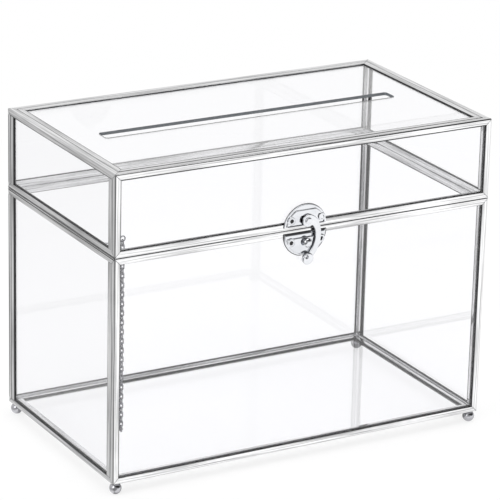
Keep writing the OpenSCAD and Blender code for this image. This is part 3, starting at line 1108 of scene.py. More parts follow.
@dataclass
class Glazing:
    """The panes, with ground arrises, and the card slot in the top pane. Sizes in millimetres."""

    finishes: Finishes
    arris: float = 0.15
    slot_half: Point = (101.65, 5.5)
    slot_radius: float = 2.0
    slot_chords: int = 8
    slot_margin: float = 0.2
    flat_normal: float = 0.9

    def pane(self, node: str, shell: Shell) -> None:
        """Builds a plain pane with ground arrises.

        Args:
            node: The pane's node.
            shell: The shell that it closes.
        """
        low, high = node_box(node)
        bm = bmesh.new()
        bmesh.ops.create_cube(bm, size=1.0)
        size = Matrix.Diagonal((*(high - low), 1))
        bmesh.ops.transform(bm, matrix=Matrix.Translation((low + high) / 2) @ size, verts=bm.verts)
        bmesh.ops.bevel(bm, geom=bm.edges[:], offset=self.arris * MM, segments=1, profile=0.5,
                        affect="EDGES")
        self.dress(finish_mesh(f"{node}_pane", bm, smooth=False), node, shell)

    def dress(self, piece: bpy.types.Object, node: str, shell: Shell) -> None:
        """Gives a pane its finish and body, and hides its node.

        Args:
            piece: The pane.
            node: The node that it stands for.
            shell: The shell that it closes.
        """
        piece.data.materials.append(self.finishes.glass)
        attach(piece, shell.value)
        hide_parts(node)

    def slotted_pane(self) -> None:
        """Builds the lid's top pane with the card slot and its ground edge."""
        low, high = node_box("top_glass")
        outer = [(low.x, low.y), (high.x, low.y), (high.x, high.y), (low.x, high.y)]
        hx, hy, r = self.slot_half[0] * MM, self.slot_half[1] * MM, self.slot_radius * MM
        hole: Outline = []
        for sx, sy, start in ((1, 1, 0), (-1, 1, 90), (-1, -1, 180), (1, -1, 270)):
            hole += arc((sx * (hx - r), sy * (hy - r)), r, start, start + 90, self.slot_chords)
        piece = plate("top_glass_pane", [outer, hole], high.z - low.z, self.arris * MM,
                      Matrix.Translation((0, 0, low.z)), 1)
        shade(piece.data, False)
        self.dress(piece, "top_glass", Shell.LID)
        piece.data.materials.append(self.finishes.edge)
        margin = self.slot_margin * MM
        for face in piece.data.polygons:
            inside = abs(face.center.x) < hx + margin and abs(face.center.y) < hy + margin
            if inside and abs(face.normal.z) < self.flat_normal:
                face.material_index = 1

    def build(self) -> None:
        """Builds every pane."""
        for shell in Shell:
            for side in Side:
                self.pane(f"{shell.value}_glass_{side.value}", shell)
        self.pane("floor_glass", Shell.BODY)
        self.slotted_pane()


# ---- feet


@dataclass
class Feet:
    """The four polished balls, each on a short neck of solder. Sizes in millimetres."""

    finishes: Finishes
    radius: float = 3.75
    neck: float = 1.9
    neck_blend: float = 0.15
    fillet: float = 0.4
    flat: float = 0.12
    ball_chords: int = 28
    fillet_chords: int = 5

    def profile(self, height: float) -> Outline:
        """Outline of a foot from the ground to the frame.

        Args:
            height: Height of the frame over the ground.

        Returns:
            The points, as radius and height.
        """
        middle = self.radius - self.flat
        low = math.degrees(math.asin(-middle / self.radius))
        neck_angle = math.degrees(math.acos((self.neck + self.neck_blend) / self.radius))
        ball = arc((0, middle), self.radius, low, neck_angle, self.ball_chords)
        flare = arc((self.neck + self.fillet, height - self.fillet), self.fillet, 180, 90,
                    self.fillet_chords)
        return [(0.0, 0.0), *ball, *flare, (0.0, height)]

    def build(self) -> None:
        """Builds the four feet."""
        for corner in ("front_left", "front_right", "rear_left", "rear_right"):
            node = f"foot_{corner}"
            low, high = node_box(node)
            bm = bmesh.new()
            lathe(bm, metres(self.profile((high.z - low.z) / MM)),
                  Matrix.Translation(((low.x + high.x) / 2, (low.y + high.y) / 2, low.z)))
            piece = finish_mesh(f"{node}_ball", bm)
            # The balls' finish is a darker copy of the plate, as painted shade.
            piece.data.materials.append(self.finishes.ball)
            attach(piece, Shell.BODY.value)
            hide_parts(node)


# ---- hinges


@dataclass
class Hinges:
    """The two rear hinges: leaves rolled round a pin, soldered on the rims. Sizes in millimetres."""

    finishes: Finishes
    knuckle: float = 1.8
    bore: float = 0.85
    roll: Span = (160, -140)
    roll_chords: int = 40
    leaf: float = 0.7
    leaf_corner: float = 0.8
    leaf_chords: int = 5
    reach: float = 3.65
    notch: float = 1.6
    width: float = 14.0
    gap: float = 0.3
    offset: float = 2.1
    overlap: float = 0.3
    inset: float = 0.02
    neck_foot: float = 0.1
    edge: float = 0.12
    edge_steps: int = 2
    pin: float = 0.8
    head: float = 1.3
    head_thickness: float = 0.6
    head_step: int = 15
    pin_facets: int = 32

    def section(self) -> list[Outline]:
        """Section of a knuckle and its leg.

        Returns:
            The outline and the bore. x is the distance from the pin, y the way to the leaf.
        """
        back, front = -self.offset + self.inset, -self.offset + self.leaf - self.inset
        leg = self.notch + self.overlap
        rolled = arc((0, 0), self.knuckle, *self.roll, self.roll_chords)
        neck = [(front, self.notch - self.overlap), (front, leg), (back, leg), (back, self.neck_foot)]
        return [metres(rolled + neck), metres(circle((0, 0), self.bore))]

    def leaf_outline(self) -> Outline:
        """Outline of the flat part of a leaf, with its far corners rounded.

        Returns:
            The outline, in metres.
        """
        half, r = self.width / 2, self.leaf_corner
        return metres([(-half, self.notch), (half, self.notch),
                       *arc((half - r, self.reach - r), r, 0, 90, self.leaf_chords),
                       *arc((-half + r, self.reach - r), r, 90, 180, self.leaf_chords)])

    def leaf_piece(self, node: str, pin: Vector, body: Shell, way: int,
                   spans: Sequence[Span]) -> None:
        """Builds a leaf.

        Args:
            node: The leaf's node.
            pin: Middle of the pin, in metres.
            body: The shell that it is soldered to.
            way: 1 for a leaf above the pin, -1 for one below.
            spans: Start and width of each knuckle along X, in millimetres.
        """
        across = axes_along((0, 1, 0), (0, 0, way), (1, 0, 0))
        parts = [plate(f"{node}_knuckle", self.section(), width * MM, self.edge * MM,
                       Matrix.Translation(pin + Vector((start * MM, 0, 0))) @ across, self.edge_steps)
                 for start, width in spans]
        flat = axes_along((1, 0, 0), (0, 0, way), (0, 1, 0))
        base = Matrix.Translation(pin - Vector((0, self.offset * MM, 0)))
        parts.append(plate(f"{node}_flat", [self.leaf_outline()], self.leaf * MM, self.edge * MM,
                           base @ flat, self.edge_steps))
        piece = joined(f"{node}_rolled", parts)
        piece.data.materials.append(self.finishes.rolled)
        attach(piece, body.value)
        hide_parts(node)

    def pin_piece(self, node: str, low: Vector, high: Vector) -> None:
        """Builds a pin with two domed heads.

        Args:
            node: The pin's node.
            low: Low corner of the node, in metres.
            high: High corner of the node, in metres.
        """
        bm = bmesh.new()
        half, height = (high.x - low.x) / 2 / MM, self.head_thickness
        top = [(self.pin, half - height), *dome(self.head, half - height, height, 0, self.head_step)]
        points = [(r, -z) for r, z in reversed(top)] + top
        points[0], points[-1] = (0.0, -half), (0.0, half)
        axis = Matrix.Translation((low + high) / 2) @ Matrix.Rotation(math.radians(90), 4, "Y")
        lathe(bm, metres(points), axis, self.pin_facets)
        piece = finish_mesh(f"{node}_turned", bm)
        piece.data.materials.append(self.finishes.rolled)
        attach(piece, Shell.BODY.value)
        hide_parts(node)

    def build(self) -> None:
        """Builds both hinges."""
        half, knuckle = self.width / 2, (self.width - 2 * self.gap) / 3
        for hand in ("left", "right"):
            low, high = node_box(f"hinge_pin_{hand}")
            pin = (low + high) / 2
            self.leaf_piece(f"hinge_leaf_body_{hand}", pin, Shell.BODY, -1,
                            [(-half, knuckle), (half - knuckle, knuckle)])
            self.leaf_piece(f"hinge_leaf_lid_{hand}", pin, Shell.LID, 1, [(-knuckle / 2, knuckle)])
            self.pin_piece(f"hinge_pin_{hand}", low, high)


# ---- hasp


@dataclass(frozen=True)
class HalfRound:
    """A half-round hasp plate, in millimetres from the hasp's middle at the split.

    The pressed rim's section is an inset from the outline and a height over the frame, point by point.
    """

    node: str
    body: Shell
    middle: Point
    low: float
    high: float
    shelf_low: float
    shelf_high: float
    screw_height: float
    tail: Point
    pressed_rim: tuple[Point, ...]


@dataclass(frozen=True)
class RoundHead:
    """A turned rivet or stud with a domed head, in millimetres from the hasp's middle.

    Its play is the clearance between the hook and the head.
    """

    node: str
    body: Shell
    at: Point
    neck: float
    head: float
    rise: float
    play: float


@dataclass
class Hasp:
    """The swing-hook hasp: two stamped half-round plates, a rivet, the hook and the catch stud.

    Sizes are in millimetres, places from the hasp's middle at the split, and turns in degrees.
    """

    case: Case
    finishes: Finishes
    # Plates: a stamped base with a raised shelf, whose edges run into each other.
    radius: float = 14.8
    thickness: float = 0.8
    rise: float = 0.8
    inset: float = 1.3
    overlap: float = 0.3
    rim_lap: float = 0.1
    corner: float = 0.5
    least_corner: float = 0.1
    corner_loss: float = 0.3
    shelf_corner: float = 0.9
    base_edge: float = 0.1
    base_steps: int = 2
    shelf_edge: float = 0.52
    shelf_steps: int = 5
    disc_chords: int = 40
    corner_chords: int = 5
    # Screw holes with their pressed rings.
    screw_x: float = 10.5
    screw_radius: float = 1.2
    boss_radius: float = 2.4
    boss_height: float = 0.12
    boss_edge: float = 0.3
    boss_sink: float = 0.2
    boss_chords: int = 4
    boss_facets: int = 40
    boss_opening_points: int = 45
    # Painted shade: a dark disc behind each hole, a plug in it, and a line round the plate.
    shade_disc: float = 1.7
    shade_sheet: float = 0.1
    shade_plug: Point = (1.22, 0.14)
    shade_below: float = 0.35
    shade_dip: Point = (0.7, 0.08)
    shade_dip_middle: float = 0.15
    shade_sink: float = 0.06
    shade_facets: int = 24
    shade_line: tuple[Point, ...] = ((-0.3, -0.05), (-0.22, 0.14), (0.5, 0.14), (0.5, -0.05))
    # Rivet and catch stud.
    tail_radius: float = 1.2
    pivot: Point = (0.3, 5.5)
    stud_at: Point = (0.0, -8.4)
    heads: tuple[RoundHead, ...] = (
        RoundHead("hasp_rivet", Shell.LID, pivot, neck=1.6, head=2.3, rise=0.8, play=0.05),
        RoundHead("hasp_stud", Shell.BODY, stud_at, neck=2.2, head=2.9, rise=1.7, play=0.1))
    head_lip: float = 0.22
    lip_turns: Span = (-90, 20)
    dome_start: int = 10
    dome_step: int = 8
    # Hook: an eye, a crescent and a finger knob.
    hook_gap: float = 0.3
    hook_thickness: float = 1.2
    hook_edge: float = 0.42
    hook_steps: int = 5
    eye_radius: float = 4.0
    eye_bore: float = 1.65
    eye_turns: Span = (75, 300)
    eye_chords: int = 30
    crescent_middle: Point = (-11.05, -4.1)
    crescent_radius: float = 18.4
    crescent_width: float = 4.0
    tip_turn: float = -50
    outer_turn: float = 22
    outer_chords: int = 24
    outer_pull: float = 3.0
    outer_ease: int = 10
    inner_turn: float = 10
    inner_chords: int = 20
    inner_pull: float = 1.5
    inner_ease: int = 8
    knob_at: Point = (0.2, -18.5)
    knob_radius: float = 3.7
    knob_thickness: float = 2.4
    knob_edge: float = 0.7
    knob_steps: int = 6
    knob_points: int = 60
    knob_hole: Point = (-1.1, 1.5)
    knob_hole_radius: float = 0.9
    plates: tuple[HalfRound, ...] = (
        HalfRound("hasp_plate_upper", Shell.LID, middle=(-0.6, 0.6), low=2.0, high=16.8,
                  shelf_low=2.01, shelf_high=12.3, screw_height=6.2, tail=pivot,
                  pressed_rim=((0.0, 0.0), (0.0, 0.5), (0.1, 0.66), (0.4, 0.76), (1.0, 0.81),
                               (1.6, 0.81), (1.6, 0.0))),
        HalfRound("hasp_plate_lower", Shell.BODY, middle=(-0.6, -2.4), low=-16.8, high=-2.0,
                  shelf_low=-16.8, shelf_high=-5.2, screw_height=-7.6, tail=stud_at,
                  pressed_rim=((0.0, 0.0), (0.0, 0.05), (0.05, 0.09), (0.7, 0.42), (1.45, 0.81),
                               (1.6, 0.81), (1.6, 0.0))))

    def __post_init__(self) -> None:
        """Finds the hasp's middle from its upper plate."""
        low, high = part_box("hasp_plate_upper")
        self.middle_x = (low[0] + high[0]) / 2 - self.plates[0].middle[0] * MM

    def place(self, out: float, at: Point = (0.0, 0.0)) -> Matrix:
        """Place of a piece that stands out of the front, in millimetres from the hasp's middle."""
        return front_place(self.middle_x + at[0] * MM, self.case.y0 - out * MM,
                           self.case.split + at[1] * MM)

    def half_round(self, middle: Point, radius: float, low: float, high: float,
                   corner: float) -> Outline:
        """Outline of a disc cut off below and above, with rounded corners.

        Args:
            middle: The disc's centre.
            radius: The disc's radius.
            low: Height of the lower cut.
            high: Height of the upper cut.
            corner: Radius of the corners.

        Returns:
            The outline, anticlockwise, in millimetres.
        """
        x, y = middle
        turns, corners = [], []
        for level, way in ((low, 1), (high, -1)):
            height = level + way * corner - y
            if abs(level - y) >= radius:
                turns.append(-90.0 * way)
                corners.append(None)
                continue
            across = math.sqrt((radius - corner) ** 2 - height ** 2)
            turns.append(math.degrees(math.atan2(height, across)))
            corners.append((across, y + height))
        points: Outline = []
        if corners[0]:
            points += arc((x + corners[0][0], corners[0][1]), corner, -90, turns[0], self.corner_chords)
        points += arc(middle, radius, turns[0], turns[1], self.disc_chords)
        if corners[1]:
            out, level = corners[1]
            points += arc((x + out, level), corner, turns[1], 90, self.corner_chords)
            points += arc((x - out, level), corner, 90, 180 - turns[1], self.corner_chords)
        points += arc(middle, radius, 180 - turns[1], 180 - turns[0], self.disc_chords)
        if corners[0]:
            points += arc((x - corners[0][0], corners[0][1]), corner, 180 - turns[0], 270,
                          self.corner_chords)
        following = points[1:] + points[:1]
        return [p for p, q in zip(points, following) if math.dist(p, q) * MM > SAME_PLACE]

    def inset_outline(self, form: HalfRound, inset: float) -> Outline:
        """Outline of a plate, moved inwards."""
        return self.half_round(form.middle, self.radius - inset, form.low + inset, form.high - inset,
                               max(self.least_corner, self.corner - self.corner_loss * inset))

    def rim(self, form: HalfRound, name: str, section: Sequence[Point]) -> bpy.types.Object:
        """Builds a closed band that follows a plate's outline.

        Args:
            form: The plate.
            name: Last word of the band's name.
            section: Inset from the outline and height above the front, round the band's section.

        Returns:
            The band as a plain mesh object.
        """
        bm = bmesh.new()
        rings = [[bm.verts.new(self.place(height) @ Vector((x * MM, y * MM, 0)))
                  for x, y in self.inset_outline(form, inset)] for inset, height in section]
        for low, high in zip(rings, rings[1:] + rings[:1]):
            for k in range(len(low)):
                n = (k + 1) % len(low)
                bm.faces.new((low[k], low[n], high[n], high[k]))
        return finish_mesh(f"{form.node}_{name}", bm)

    def screw_rings(self, form: HalfRound, screws: Sequence[Point]) -> bpy.types.Object:
        """Builds the pressed rings round a plate's screw holes.

        Args:
            form: The plate.
            screws: Places of the holes.

        Returns:
            The rings as one mesh object.
        """
        bm = bmesh.new()
        inner, outer, edge = self.screw_radius, self.boss_radius, self.boss_edge
        top = self.rise + self.boss_height
        ring = [(inner, -self.boss_sink),
                *arc((inner + edge, top - edge), edge, 180, 90, self.boss_chords),
                *arc((outer - edge, top - edge), edge, 90, 0, self.boss_chords),
                (outer, -self.boss_sink)]
        for at in screws:
            lathe(bm, metres(ring), self.place(self.thickness, at), self.boss_facets)
        return finish_mesh(f"{form.node}_rings", bm)

    def plate_piece(self, form: HalfRound) -> None:
        """Builds a stamped plate with its raised shelf and ringed screw holes.

        Args:
            form: The plate.
        """
        screws = [(way * self.screw_x, form.screw_height) for way in (-1, 1)]
        tail = circle(form.tail, self.tail_radius)
        rim = self.inset_outline(form, form.pressed_rim[-1][0] - self.rim_lap)
        shelf = self.half_round(form.middle, self.radius - self.inset, form.shelf_low,
                                form.shelf_high, self.shelf_corner)
        flat = [rim, *(circle(at, self.screw_radius) for at in screws), tail]
        openings = [circle(at, self.boss_radius - self.boss_edge, self.boss_opening_points)
                    for at in screws]
        raised = [shelf, *openings, tail]
        parts = [self.rim(form, "pressed", form.pressed_rim),
                 plate(f"{form.node}_base", [metres(loop) for loop in flat], self.thickness * MM,
                       self.base_edge * MM, self.place(0), self.base_steps),
                 plate(f"{form.node}_shelf", [metres(loop) for loop in raised],
                       (self.rise + self.overlap) * MM, self.shelf_edge * MM,
                       self.place(self.thickness - self.overlap), self.shelf_steps),
                 self.screw_rings(form, screws)]
        piece = joined(f"{form.node}_stamped", parts)
        piece.data.materials.append(self.finishes.stamped)
        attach(piece, form.body.value)
        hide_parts(form.node)
        self.backing(form, screws)

    def backing(self, form: HalfRound, screws: Sequence[Point]) -> None:
        """Builds the black painted shade that shows in the screw holes and round the plate.

        Args:
            form: The plate.
            screws: Places of its screw holes.
        """
        bm = bmesh.new()
        fill = self.thickness + self.rise - self.shade_below
        plug, shoulder = self.shade_plug
        dip, drop = self.shade_dip
        profile = [(0.0, 0.0), (self.shade_disc, 0.0), (self.shade_disc, self.shade_sheet), (plug, shoulder),
                   (plug, fill), (dip, fill - drop), (0.0, fill - self.shade_dip_middle)]
        for at in screws:
            lathe(bm, metres(profile), self.place(-self.shade_sink, at), self.shade_facets)
        parts = [finish_mesh(f"{form.node}_fill", bm), self.rim(form, "line", self.shade_line)]
        piece = joined(f"{form.node}_adhesive", parts)
        piece.data.materials.append(self.finishes.painted_hasp_shade)
        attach(piece, form.body.value)

    def turned(self, form: RoundHead) -> None:
        """Builds the rivet or the catch stud: a tail in the plate, a neck and a domed head.

        Args:
            form: The rivet or stud.
        """
        shoulder = self.thickness + self.rise
        under = shoulder + self.hook_gap + self.hook_thickness + form.play
        lip, tail = self.head_lip, self.tail_radius
        flat = form.head - lip
        points = [(0.0, 0.0), (tail, 0.0), (tail, shoulder), (form.neck, shoulder), (form.neck, under),
                  (flat, under), *arc((flat, under + lip), lip, *self.lip_turns, self.corner_chords),
                  *dome(flat, under + lip, form.rise - lip, self.dome_start, self.dome_step),
                  (0.0, under + form.rise)]
        bm = bmesh.new()
        lathe(bm, metres(points), self.place(0, form.at))
        piece = finish_mesh(f"{form.node}_turned", bm)
        piece.data.materials.append(self.finishes.stamped)
        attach(piece, form.body.value)
        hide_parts(form.node)

    def hook_outline(self) -> Outline:
        """Outline of the hook: an eye that flows into a crescent, without the finger knob.

        Returns:
            The outline, in millimetres.
        """
        middle, half = self.crescent_middle, self.crescent_width / 2
        outer, inner = self.crescent_radius + half, self.crescent_radius - half
        eye, tight = self.pivot, self.eye_radius
        first, last = self.eye_turns
        points = arc(middle, outer, self.tip_turn, self.outer_turn, self.outer_chords)
        points += eased(points[-1], self.outer_turn + 90, first + 90, on_circle(eye, tight, first),
                        self.outer_pull, self.outer_ease)
        points += arc(eye, tight, first, last, self.eye_chords)
        points += eased(points[-1], (last + 90) % 360, (self.inner_turn - 90) % 360,
                        on_circle(middle, inner, self.inner_turn), self.inner_pull, self.inner_ease)
        return points + arc(middle, inner, self.inner_turn, self.tip_turn, self.inner_chords)

    def hook(self) -> None:
        """Builds the swing hook with its finger knob."""
        out = self.thickness + self.rise + self.hook_gap
        x, y = self.knob_at
        hole = circle((x + self.knob_hole[0], y + self.knob_hole[1]), self.knob_hole_radius)
        blade = [self.hook_outline(), circle(self.pivot, self.eye_bore)]
        knob = [circle(self.knob_at, self.knob_radius, self.knob_points), hole]
        parts = [plate("hasp_hook_blade", [metres(loop) for loop in blade], self.hook_thickness * MM,
                       self.hook_edge * MM, self.place(out), self.hook_steps),
                 plate("hasp_hook_knob", [metres(loop) for loop in knob], self.knob_thickness * MM,
                       self.knob_edge * MM, self.place(out), self.knob_steps)]
        piece = joined("hasp_hook_stamped", parts)
        piece.data.materials.append(self.finishes.stamped)
        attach(piece, "hook")
        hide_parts("hasp_hook")

    def build(self) -> None:
        """Builds the hasp."""
        for form in self.plates:
            self.plate_piece(form)
        for head in self.heads:
            self.turned(head)
        self.hook()


# ---- stay chain


@dataclass
class StayChain:
    """The stay chain: two runs of interlinked wire links, a jump ring and two eyelets.

    Sizes are in millimetres.
    """

    finishes: Finishes
    wire: float = 0.4
    link_radius: float = 1.0
    link_side: float = 1.95
    ring_radius: float = 1.7
    eyelet_radius: float = 1.6
    shank: float = 9.6
    # Share of the full rounding, so that the two roundings at a link's end don't meet.
    bend_share: float = 0.999
    bend_chords: int = 8
    wire_facets: int = 10
    bevel_steps: int = 4
    ring_points: int = 48
    eyelet_turns: Span = (90, -210)
    eyelet_chords: int = 40
    tree: bpy.types.NodeTree = field(init=False)
    sockets: dict[str, str] = field(init=False, default_factory=dict)

    def __post_init__(self) -> None:
        """Builds the node group of a run once."""
        self.tree = self.link_tree()

    def link_tree(self) -> bpy.types.NodeTree:
        """Builds the Geometry Nodes group that repeats one oval link down a run.

        Returns:
            The group. Every second link is turned by a quarter about the run.
        """
        tree = bpy.data.node_groups.new("interlinked_run", "GeometryNodeTree")
        for name, kind in (("Geometry", "Geometry"), ("Links", "Int"), ("Link Radius", "Float"),
                           ("Link Side", "Float"), ("Wire Radius", "Float"), ("Finish", "Material")):
            socket = tree.interface.new_socket(name=name, in_out="INPUT",
                                               socket_type=f"NodeSocket{kind}")
            self.sockets[name] = socket.identifier
        tree.interface.new_socket(name="Geometry", in_out="OUTPUT", socket_type="NodeSocketGeometry")
        given = add_node(tree, "NodeGroupInput").outputs
        radius, side = given["Link Radius"], given["Link Side"]
        across = add_node(tree, "ShaderNodeMath", MULTIPLY, {0: radius, 1: 2.0})
        tall = add_node(tree, "ShaderNodeMath", {"operation": "ADD"}, {0: side, 1: across.outputs[0]})
        oval = add_node(tree, "GeometryNodeCurvePrimitiveQuadrilateral", {}, {
            "Width": across.outputs[0], "Height": tall.outputs[0]})
        bend = add_node(tree, "ShaderNodeMath", MULTIPLY, {0: radius, 1: self.bend_share})
        rounded = add_node(tree, "GeometryNodeFilletCurve", {"mode": "POLY"}, {
            "Curve": oval.outputs["Curve"], "Count": self.bend_chords, "Radius": bend.outputs[0],
            "Limit Radius": True})
        section = add_node(tree, "GeometryNodeCurvePrimitiveCircle", {}, {
            "Resolution": self.wire_facets, "Radius": given["Wire Radius"]})
        link = add_node(tree, "GeometryNodeCurveToMesh", {}, {
            "Curve": rounded.outputs["Curve"], "Profile Curve": section.outputs["Curve"]})
        upright = add_node(tree, "GeometryNodeTransform", {}, {
            "Geometry": link.outputs["Mesh"],
            "Rotation": (math.radians(90), 0.0, math.radians(90))})
        first = add_node(tree, "ShaderNodeMath", MULTIPLY, {0: side, 1: -0.5})
        start = add_node(tree, "ShaderNodeCombineXYZ", {}, {"Z": first.outputs[0]})
        pitch = add_node(tree, "ShaderNodeMath", {"operation": "ADD"}, {0: side, 1: radius})
        down = add_node(tree, "ShaderNodeMath", MULTIPLY, {0: pitch.outputs[0], 1: -1.0})
        step = add_node(tree, "ShaderNodeCombineXYZ", {}, {"Z": down.outputs[0]})
        places = add_node(tree, "GeometryNodeMeshLine", {}, {
            "Count": given["Links"], "Start Location": start.outputs["Vector"],
            "Offset": step.outputs["Vector"]})
        index = add_node(tree, "GeometryNodeInputIndex").outputs["Index"]
        odd = add_node(tree, "ShaderNodeMath", {"operation": "MODULO"}, {0: index, 1: 2.0})
        turn = add_node(tree, "ShaderNodeMath", MULTIPLY, {0: odd.outputs[0], 1: math.radians(90)})
        quarter = add_node(tree, "ShaderNodeCombineXYZ", {}, {"Z": turn.outputs[0]})
        links = add_node(tree, "GeometryNodeInstanceOnPoints", {}, {
            "Points": places.outputs["Mesh"], "Instance": upright.outputs["Geometry"],
            "Rotation": quarter.outputs["Vector"]})
        real = add_node(tree, "GeometryNodeRealizeInstances", {}, {
            "Geometry": links.outputs["Instances"]})
        done = add_node(tree, "GeometryNodeSetMaterial", {}, {
            "Geometry": real.outputs["Geometry"], "Material": given["Finish"]})
        add_node(tree, "NodeGroupOutput", {}, {"Geometry": done.outputs["Geometry"]})
        return tree

    def run(self, node: str, body: str) -> None:
        """Builds a run of links in place of its node.

        Args:
            node: The run's node.
            body: The body that it rides on.
        """
        low, high = node_box(node)
        end = (self.link_radius + self.wire) * MM
        pitch = (self.link_side + self.link_radius) * MM
        links = round((high.z - low.z - 2 * end + self.link_radius * MM) / pitch)
        holder = linked(f"{node}_links", bpy.data.meshes.new(f"{node}_links"))
        repeat = holder.modifiers.new("links", "NODES")
        repeat.node_group = self.tree
        values = {"Links": links, "Link Radius": self.link_radius * MM,
                  "Link Side": self.link_side * MM, "Wire Radius": self.wire * MM,
                  "Finish": self.finishes.wire}
        for name, value in values.items():
            repeat[self.sockets[name]] = value
        piece = applied(holder)
        middle = (low + high) / 2
        piece.data.transform(Matrix.Translation((middle.x, middle.y, high.z - end)))
        shade(piece.data, True)
        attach(piece, body)
        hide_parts(node)

    def bent_wire(self, name: str, points: Sequence[Vector], closed: bool) -> bpy.types.Object:
        """Bends round wire along points.

        Args:
            name: The piece's name.
            points: The middle of the wire, in metres.
            closed: True for a ring.

        Returns:
            The wire as a plain mesh object.
        """
        curve = bpy.data.curves.new(name, "CURVE")
        curve.dimensions = "3D"
        add_line(curve, points, closed)
        curve.bevel_depth = self.wire * MM
        curve.bevel_resolution = self.bevel_steps
        curve.use_fill_caps = True
        piece = applied(linked(name, curve))
        shade(piece.data, True)
        return piece

    def jump_ring(self) -> None:
        """Builds the ring between the two runs."""
        low, high = node_box("chain_jump_ring")
        middle = (low + high) / 2
        points = [middle + Vector((x, y, 0)) * MM
                  for x, y in circle((0, 0), self.ring_radius, self.ring_points)]
        piece = self.bent_wire("chain_jump_ring_wire", points, True)
        piece.data.materials.append(self.finishes.wire)
        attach(piece, "chain_ring")
        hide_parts("chain_jump_ring")

    def eyelet(self, node: str, body: Shell, way: int) -> None:
        """Builds an eyelet of one wire: a shank and an open loop.

        Args:
            node: The eyelet's node.
            body: The shell that its shank is soldered to.
            way: 1 if the shank is above the loop, -1 if it is below.
        """
        low, high = node_box(node)
        half = (self.eyelet_radius + self.wire) * MM
        x, y = high.x - half, (low.y + high.y) / 2
        z = high.z - half if way < 0 else low.z + half
        path = [(-self.shank, self.eyelet_radius), (-self.shank / 2, self.eyelet_radius),
                *arc((0, 0), self.eyelet_radius, *self.eyelet_turns, self.eyelet_chords)]
        points = [Vector((x + u * MM, y, z + way * v * MM)) for u, v in path]
        wire = self.bent_wire(f"{node}_wire", points, False)
        wire.data.materials.append(self.finishes.wire)
        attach(wire, body.value)
        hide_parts(node)

    def build(self) -> None:
        """Builds the whole stay."""
        self.run("chain_run_body", "chain_body_run")
        self.run("chain_run_lid", "chain_lid_run")
        self.jump_ring()
        self.eyelet("chain_eyelet_body", Shell.BODY, 1)
        self.eyelet("chain_eyelet_lid", Shell.LID, -1)


# ---- solder work


